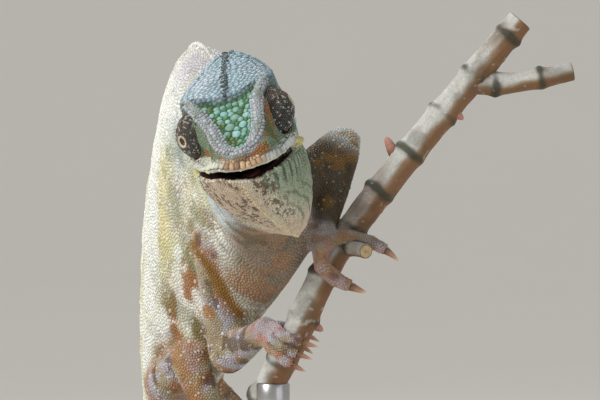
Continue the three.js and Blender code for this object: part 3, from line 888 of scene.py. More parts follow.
def laid_rows():
    """The scales that stand in rows or singly: places, half sizes, heights over half size, and kinds."""
    rows = []

    def lay(points, size, lift, kind):
        rows.append((np.asarray(points), np.broadcast_to(size, len(points)).astype(float), lift, kind))

    crest = crest_line()
    brow = crest[crest[:, 1] < 1.0]
    for by, size, step in ((0.0, 0.62, 1.22), (1.12, 0.56, 1.12), (-1.12, 0.56, 1.14)):
        lay(from_even_head(along(offset_line(brow, by), step)), size, 0.42, CREST)
    for side in (1, -1):
        rim = crest[(crest[:, 1] > 1.0) & (crest[:, 0] * side > 0)]
        lay(from_even_head(along(rim, 1.05)), 0.52, 0.45, CASQUE)
    for table, half_width, above, step, size, lift, kind in (
        (SKULL, lip_at, 1.55, 1.3, 0.95, 0.16, UPPER_LIP),
        (SKULL, lip_at, 2.95, 0.95, 0.5, 0.35, COMMON),
        (JAW, jaw_at, -1.15, 0.78, 0.39, 0.2, LOWER_LIP),
    ):
        line = along(lip_line(table[0, 0], half_width, above), step)
        line = line[corner_fold(line) > 1.1]
        lay(from_even_head(line) if above > 0 else from_head(line), size, lift, kind)
    lay(from_even_head(np.column_stack((PLATES[:, :2], crown_at(PLATES[:, 1])))), PLATES[:, 2], 0.14, PLATE)
    y = np.linspace(-1, 23, 16)
    lay(along(from_even_head(np.column_stack((0 * y, y, crown_at(y)))), 1.0), 0.46, 0.6, PARIETAL)
    gular = along(gular_line()[:64], 1.05)[2:]
    lay(gular, 0.42 * np.linspace(1, 0.8, len(gular)), 1.15, GULAR)
    back = along(back_line(), 1.75)
    lay(back, 0.8 * np.linspace(1, 0.55, len(back)), 1.75 * np.linspace(1, 0.35, len(back)), DORSAL)
    return rows


def scatter(hide, size, rng):
    """Random places on the skin, as dense as the scale size asks."""
    quad = hide.corner.reshape(-1, 4)
    a, b, c, d = (hide.points[quad[:, k]] for k in range(4))
    area = 0.5 * np.linalg.norm(np.cross(c - a, d - b), axis=1)
    want = area / (2 * math.sqrt(3) * size[quad].mean(axis=1) ** 2)
    count = int(want.sum() * 0.97)
    face = rng.choice(len(quad), count, p=want / want.sum())
    s, t = rng.random((2, count, 1))
    return a[face] * (1 - s) * (1 - t) + b[face] * s * (1 - t) + c[face] * s * t + d[face] * (1 - s) * t


def neighbours(points, count):
    """The indices of the points nearest to each point."""
    tree = KDTree(len(points))
    for i, p in enumerate(points.tolist()):
        tree.insert(p, i)
    tree.balance()
    return np.array([[f[1] for f in tree.find_n(p, count + 1)[1:]] for p in points.tolist()])


def part(points, sizes, fixed, hide, turns):
    """Moves loose points apart over the skin until they lie evenly."""
    for turn in range(turns):
        if turn % 2 == 0:
            near = neighbours(points, 7)
        gap = points[:, None] - points[near]
        far = np.maximum(np.linalg.norm(gap, axis=2), 1e-6)
        room = sizes[:, None] + sizes[near]
        push = np.clip(1.08 - far / room, 0, 1) * room * 0.45
        step = (gap / far[..., None] * push[..., None]).sum(axis=1)
        step *= np.minimum(1, sizes / np.maximum(np.linalg.norm(step, axis=1), 1e-9))[:, None]
        step[fixed] = 0
        points = points + step
        if turn % 2 or turn == turns - 1:
            points[~fixed] = hide.onto(points[~fixed])[0]
    return points


def evened(row):
    """A row of points or directions, each averaged with the two before it and the two after it."""
    wide = np.pad(row, ((2, 2), (0, 0)), mode="edge")
    return sum(wide[k:k + len(row)] * share for k, share in enumerate((0.1, 0.25, 0.3, 0.25, 0.1)))


class Coat:
    """Every scale's root, size, height and kind, and the point of the skin under it."""

    def __init__(self, hide, rng, turns):
        size, lift = grain_of(hide)
        rows = laid_rows()
        loose = scatter(hide, size, rng)
        _, _, vertex, _ = hide.onto(loose)
        loose_size = size[vertex] * rng.uniform(0.86, 1.12, len(loose))
        kinds = np.full(len(loose), COMMON)
        body = joined(hide.masks, "trunk", "tail", "arm", "leg") * ((hide.height > -0.6) | (hide.share > 0.4))
        big = (rng.random(len(loose)) < TUBERCLE_SHARE) & (body[vertex] > 0.6)
        loose_size[big] *= 1.5
        kinds[big] = TUBERCLE
        laid = np.vstack([hide.onto(r[0])[0] for r in rows])
        laid_size = np.concatenate([r[1] for r in rows])
        laid_kind = np.concatenate([np.full(len(r[0]), r[3]) for r in rows])
        laid_lift = np.concatenate([np.broadcast_to(r[2], len(r[0])) for r in rows])
        free = np.ones(len(loose), bool)
        for p, r in zip(laid, laid_size):
            free &= np.einsum("ij,ij->i", loose - p, loose - p) > (r * 0.95) ** 2
        count = free.sum()
        points = np.vstack((loose[free], laid))
        self.size = np.concatenate((loose_size[free], laid_size))
        fixed = np.arange(len(points)) >= count
        points = part(points, self.size, fixed, hide, turns)
        self.root, face, self.vertex, self.out = hide.onto(points)
        self.kind = np.concatenate((kinds[free], laid_kind))
        for kind in (UPPER_LIP, LOWER_LIP):
            row = np.flatnonzero(self.kind == kind)
            self.root[row] = hide.onto(evened(self.root[row]))[0]
            self.out[row] = unit(evened(self.out[row]))
        self.lift = np.concatenate((lift[self.vertex[:count]], laid_lift))
        self.lift[self.kind == TUBERCLE] *= 1.25
        self.near = neighbours(self.root, 9)
        self.keep = self.outside(hide)
        uv = read(hide.piece.data.uv_layers["OFBake"].data, "uv", 2, np.float32)
        self.uv = uv.reshape(-1, 4, 2).mean(axis=1)[face]
        self.back = hide.lie[self.vertex]

    def bunch(self, chosen):
        """The chosen scales, with their neighbours."""
        near = self.near[chosen]
        own = (values[chosen] for values in (self.root, self.out, self.back, self.size, self.lift))
        return Bunch(*own, self.root[near], self.size[near], self.uv[chosen])

    def outside(self, hide):
        """Leaves out the scales inside the mouth and the eye sockets."""
        p = even_head(self.root)
        x, y, z = p.T
        head = (hide.masks["head"] + hide.masks["jaw"])[self.vertex] > 0.5
        rise = z - mouth_middle(x, y)
        beyond = np.abs(rise) - mouth_gap(x, y) / 2
        inward = in_head(self.out)[:, 2] * rise < -0.2 * np.abs(rise)
        lining = (mouth_depth(x, y, rise) > 0.9) & inward & (beyond < 2)
        rim = np.where(rise > 0, 0.45, 0.6) * smoothstep(0.9, 1.3, corner_fold(p))
        mouth = head & ((beyond < rim) | lining) & (y < 1.6)
        socket = np.zeros(len(p), bool)
        p = in_head(self.root)
        for side in (1, -1):
            socket |= np.linalg.norm(p - (side * EYE_SPREAD, 0, 0), axis=1) < TURRET_R + 0.3
        return ~(mouth | (socket & head))


class Bunch:
    """Some scales: roots, ways out and back along the lie, sizes, heights, and places on the unwrap."""

    def __init__(self, root, out, back, size, lift, around, around_size, uv):
        self.root, self.size, self.lift, self.uv = root, size, lift, uv
        self.out = unit(out)
        back = back - self.out * np.einsum("ij,ij->i", back, self.out)[:, None]
        weak = np.linalg.norm(back, axis=1) < 1e-3
        back[weak] = np.cross(self.out[weak], (0.3, 0.5, 0.8))
        self.back = unit(back)
        self.across = np.cross(self.out, self.back)
        self.gap = around - root[:, None]
        self.share = size[:, None] / (size[:, None] + around_size)

    def outlines(self, corners):
        """How far each scale reaches in each direction before it meets its neighbours."""
        turn = circle(corners)
        x = np.einsum("ijk,ik->ij", self.gap, self.back)
        y = np.einsum("ijk,ik->ij", self.gap, self.across)
        square = np.einsum("ijk,ijk->ij", self.gap, self.gap)
        reach = np.empty((len(self.root), corners))
        for k, angle in enumerate(turn):
            ahead = x * math.cos(angle) + y * math.sin(angle)
            meet = self.share * square / np.maximum(ahead, 1e-6)
            reach[:, k] = np.where(ahead > 0.05 * np.sqrt(square), meet, 1e9).min(axis=1)
        own = self.size[:, None]
        reach = np.minimum(reach, own * 1.3)
        return 0.7 * reach + 0.3 * np.minimum(reach, own * 1.05), turn


FLAT, CONE = 0.25, 1  # a scale lower than FLAT is a plate, one higher than CONE is a cone
SINK = 0.14  # how deep the scales' rims lie in the skin
PATCH = 0.0015  # half the width of a scale's place on the unwrap


def scale_mesh(name, bunch, colours, corners):
    """One joined mesh of closed, low domes, each filling its place among its neighbours."""
    n, k = len(bunch.root), corners
    reach, turn = bunch.outlines(k)
    root, out, back = bunch.root[:, None], bunch.out[:, None], bunch.back[:, None]
    high = (bunch.size * bunch.lift)[:, None, None]
    cone = (bunch.lift > CONE)[:, None, None]
    ray = back * np.cos(turn)[None, :, None] + bunch.across[:, None] * np.sin(turn)[None, :, None]
    rim = root + ray * (reach * 0.95)[..., None] - out * SINK
    lean = back * high * np.where(cone, 0.35, 0.2)
    flat = (bunch.lift < FLAT)[:, None, None]
    waist = np.where(cone, 0.5, np.where(flat, 0.83, 0.72))
    shoulder = np.where(cone, 0.5, np.where(flat, 0.88, 0.74))
    ring = root + ray * reach[..., None] * waist + out * high * shoulder + lean * 0.5
    points = np.concatenate((rim, ring, root + out * high + lean), axis=1).reshape(-1, 3)
    around = np.arange(k)
    after = (around + 1) % k
    skirt = np.column_stack((around, after, after + k, around + k)).ravel()
    cap = np.column_stack((around + k, after + k, np.full(k, 2 * k))).ravel()
    one = np.concatenate((skirt, cap, around[::-1]))
    starts = np.concatenate((np.arange(k) * 4, 4 * k + np.arange(k) * 3, (7 * k,)))
    corner = (one[None, :] + (np.arange(n) * (2 * k + 1))[:, None]).ravel()
    start = (starts[None, :] + (np.arange(n) * len(one))[:, None]).ravel()
    piece = mesh_object(name, points, corner, start)
    paint_points(piece, np.repeat(colours, 2 * k + 1, axis=0))
    spot = np.zeros((2 * k + 1, 2))
    for i, share in ((0, 1.0), (1, 0.6)):
        spot[i * k:(i + 1) * k] = share * PATCH * np.column_stack((np.cos(turn), np.sin(turn)))
    uv = bunch.uv[:, None] + spot[one][None]
    layer = piece.data.uv_layers.new(name="OFBake")
    layer.data.foreach_set("uv", uv.astype(np.float32).ravel())
    return piece


def unwrap(piece):
    """A flat unwrap of the skin's own shape."""
    bpy.context.view_layer.objects.active = piece
    piece.select_set(True)
    piece.data.uv_layers.new(name="OFBake")
    bpy.ops.object.mode_set(mode="EDIT")
    bpy.ops.mesh.select_all(action="SELECT")
    bpy.ops.uv.smart_project(angle_limit=math.radians(70), island_margin=0.002)
    bpy.ops.object.mode_set(mode="OBJECT")
    piece.select_set(False)


# ---------------------------------------------------------------- paint
def linear(red, green, blue):
    """A colour given as 0 to 255 on a screen, as Blender's light values."""
    shares = (c / 255 for c in (red, green, blue))
    return tuple(((c + 0.055) / 1.055) ** 2.4 if c > 0.04 else c / 12.92 for c in shares)


def blot(points, size, seed, share, edge=0.06):
    """Patches of mottling that cover about `share` of the surface."""
    value = mottle(points, size, seed)
    low = np.quantile(value, 1 - share)
    return smoothstep(low - edge, low + edge, value)


class Paint:
    """Colours at points, built up in coats of a palette's colours over a ground."""

    def __init__(self, count, palette, ground):
        self.palette = palette
        self.rgb = np.tile(np.array(palette[ground], float), (count, 1))

    def lay(self, colour, mask):
        """Covers the points with a colour as far as the mask, 0 to 1, says."""
        mask = np.clip(mask, 0, 1)[:, None]
        self.rgb = self.rgb * (1 - mask) + np.array(self.palette[colour], float) * mask

    def blots(self, points, mask, *rows):
        """Lays patches within a mask: each row has their colour, size, seed, share and strength."""
        for colour, size, seed, share, strength in rows:
            self.lay(colour, blot(points, size, seed, share) * strength * mask)


# The painted shadow in the crease between the right upper arm and the chest, running down from the shoulder.
ARM_CREASE_SHADOW = np.array((
    (-12, 52, -20), (-11.3, 54.7, -27.1), (-8.3, 49.6, -32.3), (-4.7, 50.3, -37.9), (0, 54, -45),
))
# The height of the flank's white stripe, partly a painted highlight, along the trunk: shares of its length,
# then of its half depth.
STRIPE = ((0.1, 0.3, 0.37, 0.4, 0.445, 0.5, 0.6, 0.8), (0.5, 0.62, 0.5, 0.33, 0.14, 0, -0.05, 0))


def body_paint(paint, at, share, height, body):
    """Cream and pale green, marbled, with a white stripe, partly a painted highlight, over a yellow one along
    each flank, and the chest and underside darkened by painted shade.
    """
    paint.lay("green_cream", blot(at, 13, 1, 0.4, 0.1) * 0.8)
    low = smoothstep(-0.15, -0.55, height)
    paint.blots(at, 0.2 + 0.8 * low, ("tan", 8, 2, 0.32, 0.75))
    paint.blots(at, 0.4 + 0.6 * low, ("lilac", 7, 5, 0.26, 0.75))
    marks = ("olive", 6.5, 3, 0.26, 0.85), ("russet", 6, 4, 0.24, 0.9), ("umber", 4, 9, 0.12, 0.7)
    paint.blots(at, low, *marks)
    paint.blots(at, 1, ("white", 5.5, 10, 0.26, 0.75))
    bars = smoothstep(0.2, 0.9, np.sin(share * 55 + 1.6 * (noise(at, 12, 6) - 0.5)))
    paint.lay("olive", bars * 0.5 * smoothstep(0.15, -0.3, height) * smoothstep(0.3, 0.4, share) * body)
    stripe = np.interp(share, *STRIPE)
    paint.lay("yellow", smoothstep(0.3, 0.05, np.abs(height - stripe + 0.32)) * 0.6
              * smoothstep(0.2, 0.26, share) * smoothstep(0.5, 0.4, share) * body)
    # The white stripe: partly the flank's own pale stripe, partly a painted highlight.
    edge = height - stripe + 0.08 * (noise(at, 5, 17) - 0.5)
    white = smoothstep(0.3, 0.12, np.abs(edge)) * smoothstep(0.22, 0.28, share) * smoothstep(0.76, 0.6, share)
    white *= 0.45 + 0.55 * np.maximum(blot(at, 5, 7, 0.6), smoothstep(0.5, 0.42, share))
    paint.lay("white", white * body)
    paint.lay("yellow", smoothstep(0.35, 0.55, edge) * smoothstep(0.95, 0.7, height) * 0.55 * body
              * smoothstep(0.08, 0.16, share))
    nape = smoothstep(0.4, 0.8, height) * smoothstep(0.34, 0.24, share) * body
    paint.lay("lilac", nape * (0.45 + 0.4 * blot(at, 6, 38, 0.5, 0.1)))
    # The chest under the throat and the underside are painted a dark grey-brown: their own colour darkened by
    # painted shade.
    chest = smoothstep(-0.5, -0.8, height) * smoothstep(0.36, 0.28, share) * body
    paint.lay("belly", np.clip(chest * 0.85 + smoothstep(-0.75, -1, height) * 0.5 * body, 0, 1))
    paint.lay("rust", chest * blot(at, 6, 18, 0.3) * 0.4)
    neck = smoothstep(0.0, 0.03, share) * smoothstep(0.2, 0.12, share) * body
    paint.lay("blue_white", neck * smoothstep(-0.9, -0.5, height) * smoothstep(0.8, 0.3, height) * 0.8)
    paint.lay("dark_green", neck * blot(at, 4, 19, 0.22) * 0.5)
    shoulder = smoothstep(0.08, 0.0, np.abs(share - 0.28)) * smoothstep(0.3, 0.1, np.abs(height - 0.25))
    paint.lay("blue_white", shoulder * 0.8 * body)
    beside = smoothstep(0.09, 0.04, np.abs(share - 0.31)) * smoothstep(0.5, 0.25, np.abs(height)) * body
    paint.lay("moss_green", beside * blot(at, 5, 42, 0.34, 0.1) * 0.4)


def limb_paint(paint, at, mask):
    """Warm tan and grey-brown limbs with lilac, orange and dark blotches, painted shade on the left forearm
    and in the toes' creases, and a painted shadow along the right arm's crease.
    """
    limbs = np.clip(joined(mask, "arm", "leg", "hand", "foot"), 0, 1)
    paint.lay("limb", limbs * 0.9)
    marks = ("lilac", 5, 11, 0.36, 0.85), ("rust", 4, 12, 0.2, 0.75), ("umber", 3.5, 13, 0.18, 0.7)
    paint.blots(at, limbs, *marks)
    paint.blots(at, np.clip(joined(mask, "leg"), 0, 1), ("rust", 8, 20, 0.4, 0.6))
    left = mask["arm_left"]
    # Painted shade: the lower part of the left arm, the forearm, is painted dark olive.
    low = smoothstep(1, -6, at[:, 2] + 0.5 * (at[:, 0] - 24))
    paint.lay("dark_olive", left * low * 0.95)
    paint.lay("gold", left * low * blot(at, 2.8, 14, 0.16) * 0.55)
    paint.lay("olive", left * (1 - low) * blot(at, 4, 26, 0.4) * 0.6)
    paint.lay("blue_white", 0.75 * left * (1 - low) * blot(at, 5, 27, 0.6))
    hands = np.clip(joined(mask, "hand", "foot"), 0, 1)
    paint.blots(at, hands, ("lilac", 4, 15, 0.6, 0.7), ("salmon", 3, 16, 0.2, 0.6))
    upper = mask["hand_left"] * smoothstep(-30, -27, at[:, 2])
    paint.lay("olive", upper * 0.5)
    paint.lay("salmon", (mask["hand_left"] - upper) * 0.35)
    # Painted shade in the creases between the toes.
    paint.lay("umber", toe_grooves(at) * hands * 0.3)
    # Painted shadow: a gold-brown line along the crease between the right arm and the chest.
    paint.lay("gold", ridge(at, curve_points(ARM_CREASE_SHADOW, np.linspace(0.3, 1, 30))[0], 3.0) * 1.2)


def head_paint(paint, p, up, mask, kind, spots):
    """The green crown with its pale plates, the pale crest, the blue-grey casque, partly a painted reflection
    of the sky, painted shade at the step from crown to casque and on the casque's left, and the marked
    cheeks.
    """
    x, y, z = p.T
    across = np.abs(x)
    head = np.clip(mask["head"], 0, 1)
    front = smoothstep(4, -3, y)
    paint.lay("cheek", head)
    side = head * smoothstep(0.4, 1.3, across - crest_half(y)) * front * smoothstep(-7.6, -6.2, z)
    paint.lay("orange", side * blot(p, 3.4, 21, 0.5, 0.03) * 0.9)
    over_lip = np.abs(z - mouth_middle(x, y) - mouth_gap(x, y) / 2 - 2.8)
    row = smoothstep(0.7, 0.3, over_lip) * smoothstep(-15, -18, y)
    paint.lay("orange", head * row * smoothstep(7, 5, np.abs(x - 1)) * 0.7)
    paint.lay("moss_green", side * blot(p, 2.8, 22, 0.34, 0.03) * 0.85)
    paint.lay("umber", side * smoothstep(1.4, 0.2, across - crest_half(y) - 0.6) * 0.4 * (y < -5))
    crown = crown_share(p, up) * head
    casque = head * smoothstep(-0.5, 0.5, y - casque_line(x)) * smoothstep(-0.2, 0.3, up)
    paint.lay("crown", crown)
    paint.lay("moss_green", crown * blot(p, 2.6, 28, 0.4) * 0.75)
    # Painted shadow: the back of the crown is darkened where the casque rises over it.
    paint.lay("dark_green", crown * smoothstep(2.2, 0.2, casque_line(x) - y) * 0.75)
    paint.lay("dark_green", crown * smoothstep(1.0, 0.4, crest_half(y) - across - 0.6) * 0.4)
    pale = ((kind == COMMON) & (spots < 0.38 - 0.2 * (x < -1))) * smoothstep(-0.6, -2.4, y - casque_line(x))
    paint.lay("aqua", crown * pale * 0.75)
    paint.lay("aqua", (kind == PLATE) * (0.55 + 0.4 * (spots < 0.6)))
    # The casque's blue-grey on its upward faces: its own colour together with a painted reflection of the
    # sky.
    paint.lay("casque", casque)
    paint.lay("lilac", casque * blot(p, 5, 25, 0.3) * 0.3)
    # Slate blots on the casque, and painted shade that darkens the casque towards the animal's left, the side
    # turned from the light.
    paint.lay("slate", casque * np.maximum(blot(p, 4, 29, 0.25) * 0.22, smoothstep(2, 8, x) * 0.35))
    # Painted shadow along the casque's front edge, at the step up from the crown.
    paint.lay("slate", casque * smoothstep(2.2, 0.2, y - casque_line(x)) * 0.4)
    brow = np.linalg.norm((p - (10.2, -1.2, 6.3)) / (2.4, 3.2, 2.2), axis=1)
    paint.lay("slate", head * smoothstep(1.2, 0.4, brow) * 0.85)
    band = ridge(p, crest_line(), 2.1) * smoothstep(1.4, 0.4, y) * head
    paint.lay("crest", np.clip(band * 1.6, 0, 1))
    paint.lay("crest", (kind == CREST) * (1 - 0.6 * smoothstep(1.3, 0.6, brow)))
    paint.lay("crown", (kind == CREST) * (spots < 0.1) * 0.45)
    middle = smoothstep(0.75, 0.35, across) * smoothstep(-0.5, 0.4, y - casque_line(x)) * (up > 0)
    paint.lay("slate", head * middle)
    rear = head * smoothstep(5, 9, y) * smoothstep(0.35, -0.1, up) * smoothstep(-9, -3, z)
    paint.lay("casque", rear * 0.6)
    temple = head * smoothstep(3, 7, y) * smoothstep(0.5, 0.1, up)
    line = np.abs(z - (-3.5 + 0.35 * (y - 8)))
    paint.lay("blue_white", temple * smoothstep(1.0, 0.4, line) * 0.6)
    beside = smoothstep(1.6, 2.0, line) * smoothstep(3.2, 2.4, line)
    paint.blots(p, temple * beside, ("slate", 4, 40, 0.6, 0.4))
    paint.lay("blue_white", head * smoothstep(3, 8, y) * smoothstep(-2, -7, z) * 0.7)


def throat_paint(paint, p, at, mask, kind):
    """Pinkish white, greyer on the left, with dark dashes that fan out from the mouth and a cream crest."""
    x, y, z = p.T
    jaw = smoothstep(0.12, 0.8, mask["throat"]) * smoothstep(0.9, 0.4, mask["head"])
    paint.lay("throat", jaw)
    paint.lay("grey_green", jaw * smoothstep(1, 8, x - 0.2 * (y + 20)) * 0.9)
    paint.lay("pink", jaw * blot(at, 7, 31, 0.5) * 0.5 * smoothstep(7, -2, x))
    paint.lay("pink", jaw * smoothstep(-22, -28, z) * 0.5)
    fan = 24 * np.arctan2(x, 6 - y)
    rays = np.column_stack((fan + 0.2 * (z + 12), 0.36 * z, 0 * z))
    dashes = np.maximum(blot(rays, 0.55, 32, 0.24, 0.03), blot(rays * 1.6, 0.55, 33, 0.17, 0.03))
    dashes *= smoothstep(0.1, 0.4, noise(at, 5, 36)) * (1 - 0.6 * smoothstep(5, 8, x))
    away = smoothstep(0.4, 1.4, np.abs(x - np.interp(z, (-31, -11), (4, 0))))
    paint.lay("umber", dashes * 0.85 * away * jaw * smoothstep(-29, -22, z))
    bars = smoothstep(0.5, 0.8, np.sin(2.4 * fan + 0.35 * z + 1.6 * noise(p, 3, 34)))
    paint.lay("dark_green", bars * jaw * 0.9 * smoothstep(-17, -13, z) * smoothstep(3, 5.5, x))
    bars = smoothstep(0.6, 0.95, np.sin(2.1 * z + 0.5 * fan + 2.4 * noise(p, 4, 37)))
    paint.lay("dark_green", bars * jaw * 0.6 * smoothstep(-15, -18, z) * smoothstep(5, 8, x))
    paint.lay("cream", ridge(at, gular_line()[:62], 0.7) * jaw * 0.8)
    paint.lay("cream", (kind == GULAR) * 0.9)


def mouth_paint(paint, p, up, mask, kind, spots):
    """Lips, the folds at the corners, and the inside of the mouth darkened as painted shade."""
    x, y, z = p.T
    across = np.abs(x)
    face = np.clip(mask["head"] + mask["jaw"], 0, 1) * smoothstep(3.5, 0.5, y)
    rise = z - mouth_middle(x, y)
    beyond = np.abs(rise) - mouth_gap(x, y) / 2
    upper = smoothstep(2.6, 2.2, beyond) * (rise > 0) * face
    lower = smoothstep(1.6, 1.0, beyond) * (rise < 0) * face
    bare = kind < 0
    paint.lay("lip", upper * 0.95)
    paint.lay("blue_white", upper * 0.5 * smoothstep(3, 7, x))
    paint.lay("apricot", upper * smoothstep(6.5, 3.5, np.abs(x - 1)) * smoothstep(-14, -19, y) * 0.85)
    # Painted shade in the gaps between the upper lip's scales.
    paint.lay("umber", upper * bare * smoothstep(0.45, 0.7, beyond) * 0.8)
    paint.lay("umber", (kind == UPPER_LIP) * (spots < 0.16) * 0.45)
    paint.lay("lip", lower * 0.3 * (kind == LOWER_LIP))
    deep = mouth_depth(x, y, rise)
    edge = smoothstep(0.8, 0.6, beyond) * face * smoothstep(1.1, 0.5, deep)
    paint.lay("lip", edge * 0.9)
    paint.lay("corner", edge * smoothstep(5, 10, across) * 0.6)
    paint.lay("corner", smoothstep(1.2, 0.4, corner_fold(p)) * face * 0.85)
    # Painted shade: the lining and the gap of the mouth are painted near black.
    lining = smoothstep(0.7, 1.1, deep) * (up * rise < -0.1 * np.abs(rise)) * (beyond < 2)
    paint.lay("mouth", np.maximum(lining, smoothstep(0.1, -0.1, beyond) * (deep > 0.5)) * face * bare)


def animal_paint(hide, at, vertex, palette, kind=None, spots=None):
    """The animal's colours at points near vertices of the skin; kind and spots are given for scales."""
    kind = np.full(len(at), -1) if kind is None else kind
    spots = np.ones(len(at)) if spots is None else spots
    mask = {r: m[vertex] for r, m in hide.masks.items()}
    mask["throat"] = hide.throat[vertex]
    share, height = hide.share[vertex], hide.height[vertex]
    up = in_head(hide.normals[vertex])[:, 2]
    p = even_head(at)
    paint = Paint(len(at), palette, "flank")
    body = np.clip(joined(mask, "neck", "trunk", "tail"), 0, 1)
    body_paint(paint, at, share, height, body)
    bands = smoothstep(-0.1, 0.6, np.sin(at[:, 2] * 0.42 + 2 * noise(at, 10, 8)))
    paint.lay("olive", bands * 0.65 * mask["tail"])
    paint.lay("russet", (1 - bands) * 0.4 * mask["tail"] * blot(at, 6, 35, 0.4))
    limb_paint(paint, at, mask)
    head_paint(paint, p, up, mask, kind, spots)
    throat_paint(paint, p, at, mask, kind)
    paint.lay("white", (kind == DORSAL) * 0.4)
    paint.lay("white", (kind == TUBERCLE) * (0.25 - 0.18 * mask["arm_left"]))
    # Painted shade: the bare skin, which shows only in the gaps between and under the scales, is darkened.
    if kind[0] < 0:
        paint.rgb *= 0.6
    mouth_paint(paint, p, up, mask, kind, spots)
    return paint.rgb


# ---------------------------------------------------------------- finishes
class Value:
    """A socket of a shader, on which arithmetic adds Math nodes."""

    def __init__(self, finish, socket):
        self.finish = finish
        self.socket = socket

    def maths(self, operation, first, second):
        """A Math node's result."""
        return self.finish.node("ShaderNodeMath", {"operation": operation}, {0: first, 1: second})["Value"]

    def __add__(self, other):
        return self.maths("ADD", self, other)

    def __mul__(self, other):
        return self.maths("MULTIPLY", self, other)

    __radd__ = __add__
    __rmul__ = __mul__


class Finish:
    """A material in the making."""

    def __init__(self, name):
        self.material = bpy.data.materials.new(name)
        self.material.use_nodes = True
        self.tree = self.material.node_tree
        self.tree.nodes.clear()

    def node(self, kind, settings, inputs):
        """Adds a node: its settings, then the values or links of its sockets. Gives its outputs by name."""
        node = self.tree.nodes.new(kind)
        for key, value in settings.items():
            setattr(node, key, value)
        sockets = [s for s in node.inputs if s.enabled]
        for key, value in inputs.items():
            socket = sockets[key] if isinstance(key, int) else next(s for s in sockets if s.name == key)
            if isinstance(value, Value):
                self.tree.links.new(value.socket, socket)
            elif socket.type == "RGBA" and len(value) == 3:
                socket.default_value = (*value, 1)
            else:
                socket.default_value = value
        return {s.name: Value(self, s) for s in node.outputs if s.enabled}

    def mix(self, share, first, second, blend="MIX"):
        """Two colours, mixed or blended by a share."""
        settings = {"data_type": "RGBA", "blend_type": blend}
        return self.node("ShaderNodeMix", settings, {"Factor": share, "A": first, "B": second})["Result"]

    def place(self, stretch=(1, 1, 1)):
        """Where a point is, with each axis drawn out or squeezed."""
        at = self.node("ShaderNodeTexCoord", {}, {})["Object"]
        return self.node("ShaderNodeVectorMath", {"operation": "MULTIPLY"}, {0: at, 1: stretch})["Vector"]

    def noise(self, size, detail=3.0, stretch=(1, 1, 1)):
        """Noise with bumps of a size in millimetres."""
        sockets = {"Scale": 1 / (size * MM), "Detail": detail, "Roughness": 0.55}
        return self.node("ShaderNodeTexNoise", {}, {"Vector": self.place(stretch), **sockets})["Fac"]

    def range(self, value, low, high, top=1.0):
        """A value from low to high as 0 to top."""
        sockets = {"Value": value, "From Min": low, "From Max": high, "To Max": top}
        return self.node("ShaderNodeMapRange", {"clamp": True}, sockets)["Result"]

    def paint(self):
        """The colours painted on the points."""
        return self.node("ShaderNodeAttribute", {"attribute_name": "Paint"}, {})["Color"]

    def bump(self, height, distance, strength=1.0):
        """A relief up to a distance in millimetres high."""
        sockets = {"Height": height, "Distance": distance * MM, "Strength": strength}
        return self.node("ShaderNodeBump", {}, sockets)["Normal"]

    def surface(self, **sockets):
        """Ends the material in a Principled shader; a socket's name has _ for its spaces."""
        named = {key.replace("_", " "): value for key, value in sockets.items()}
        shader = self.node("ShaderNodeBsdfPrincipled", {}, named)["BSDF"]
        self.node("ShaderNodeOutputMaterial", {}, {"Surface": shader})
        return self.material


def hide_finish(name, roughness, grain):
    """Painted horny skin: each scale a little lighter or darker, with a fine grain."""
    finish = Finish(name)
    fleck = finish.noise(0.45, 2.0)
    lit = finish.mix(finish.range(fleck, 0.35, 0.7, 0.4), finish.paint(), (0.8, 0.78, 0.72), "SOFT_LIGHT")
    cloud = finish.range(finish.noise(1.7, 2.0), 0.4, 0.75, 0.3)
    shade = finish.mix(cloud, lit, (0.5, 0.44, 0.38), "MULTIPLY")
    fine = finish.noise(0.16, 2.0)
    return finish.surface(
        Base_Color=shade,
        Roughness=fleck * 0.2 + (roughness - 0.1),
        Specular_IOR_Level=0.42,
        Subsurface_Weight=0.06,
        Subsurface_Radius=(0.0012, 0.0006, 0.0004),
        Normal=finish.bump(fine, grain, 0.6),
    )


def wet_finish(name, colour, roughness):
    """Wet flesh with darker clouds."""
    finish = Finish(name)
    blush = finish.mix(finish.range(finish.noise(1.2), 0.35, 0.7), colour, tuple(c * 0.62 for c in colour))
    return finish.surface(
        Base_Color=blush,
        Roughness=finish.noise(0.6) * 0.15 + roughness,
        Normal=finish.bump(finish.noise(0.35), 0.08, 0.6),
    )


def eye_finish():
    """A painted eyeball under a clear, glossy coat."""
    finish = Finish("eyeball")
    return finish.surface(
        Base_Color=finish.paint(),
        Roughness=finish.noise(0.4) * 0.04 + 0.16,
        Coat_Weight=0.25,
        Coat_Roughness=0.03,
    )


def claw_finish():
    """Painted horn with faint streaks along it."""
    finish = Finish("claw_horn")
    streak = finish.noise(0.3, 3.0, (1, 1, 0.4))
    horn = finish.mix(finish.range(streak, 0.3, 0.7, 0.3), finish.paint(), (0.30, 0.18, 0.10))
    return finish.surface(
        Base_Color=horn,
        Roughness=streak * 0.15 + 0.3,
        Normal=finish.bump(streak, 0.03, 0.5),
    )


def bark_finish(moss):
    """Painted bark, rough, with dark cracks and a thin film of moss."""
    finish = Finish("bark")
    fine = finish.noise(0.5, 4.0)
    broad = finish.noise(3.5, 4.0)
    base = finish.mix(finish.range(fine, 0.4, 0.8, 0.4), finish.paint(), (0.16, 0.10, 0.06))
    base = finish.mix(finish.range(broad, 0.55, 0.75, 0.3), base, moss)
    return finish.surface(
        Base_Color=base,
        Roughness=fine * 0.25 + 0.62,
        Normal=finish.bump(fine * 0.7 + broad * 0.6, 0.22, 0.8),
    )


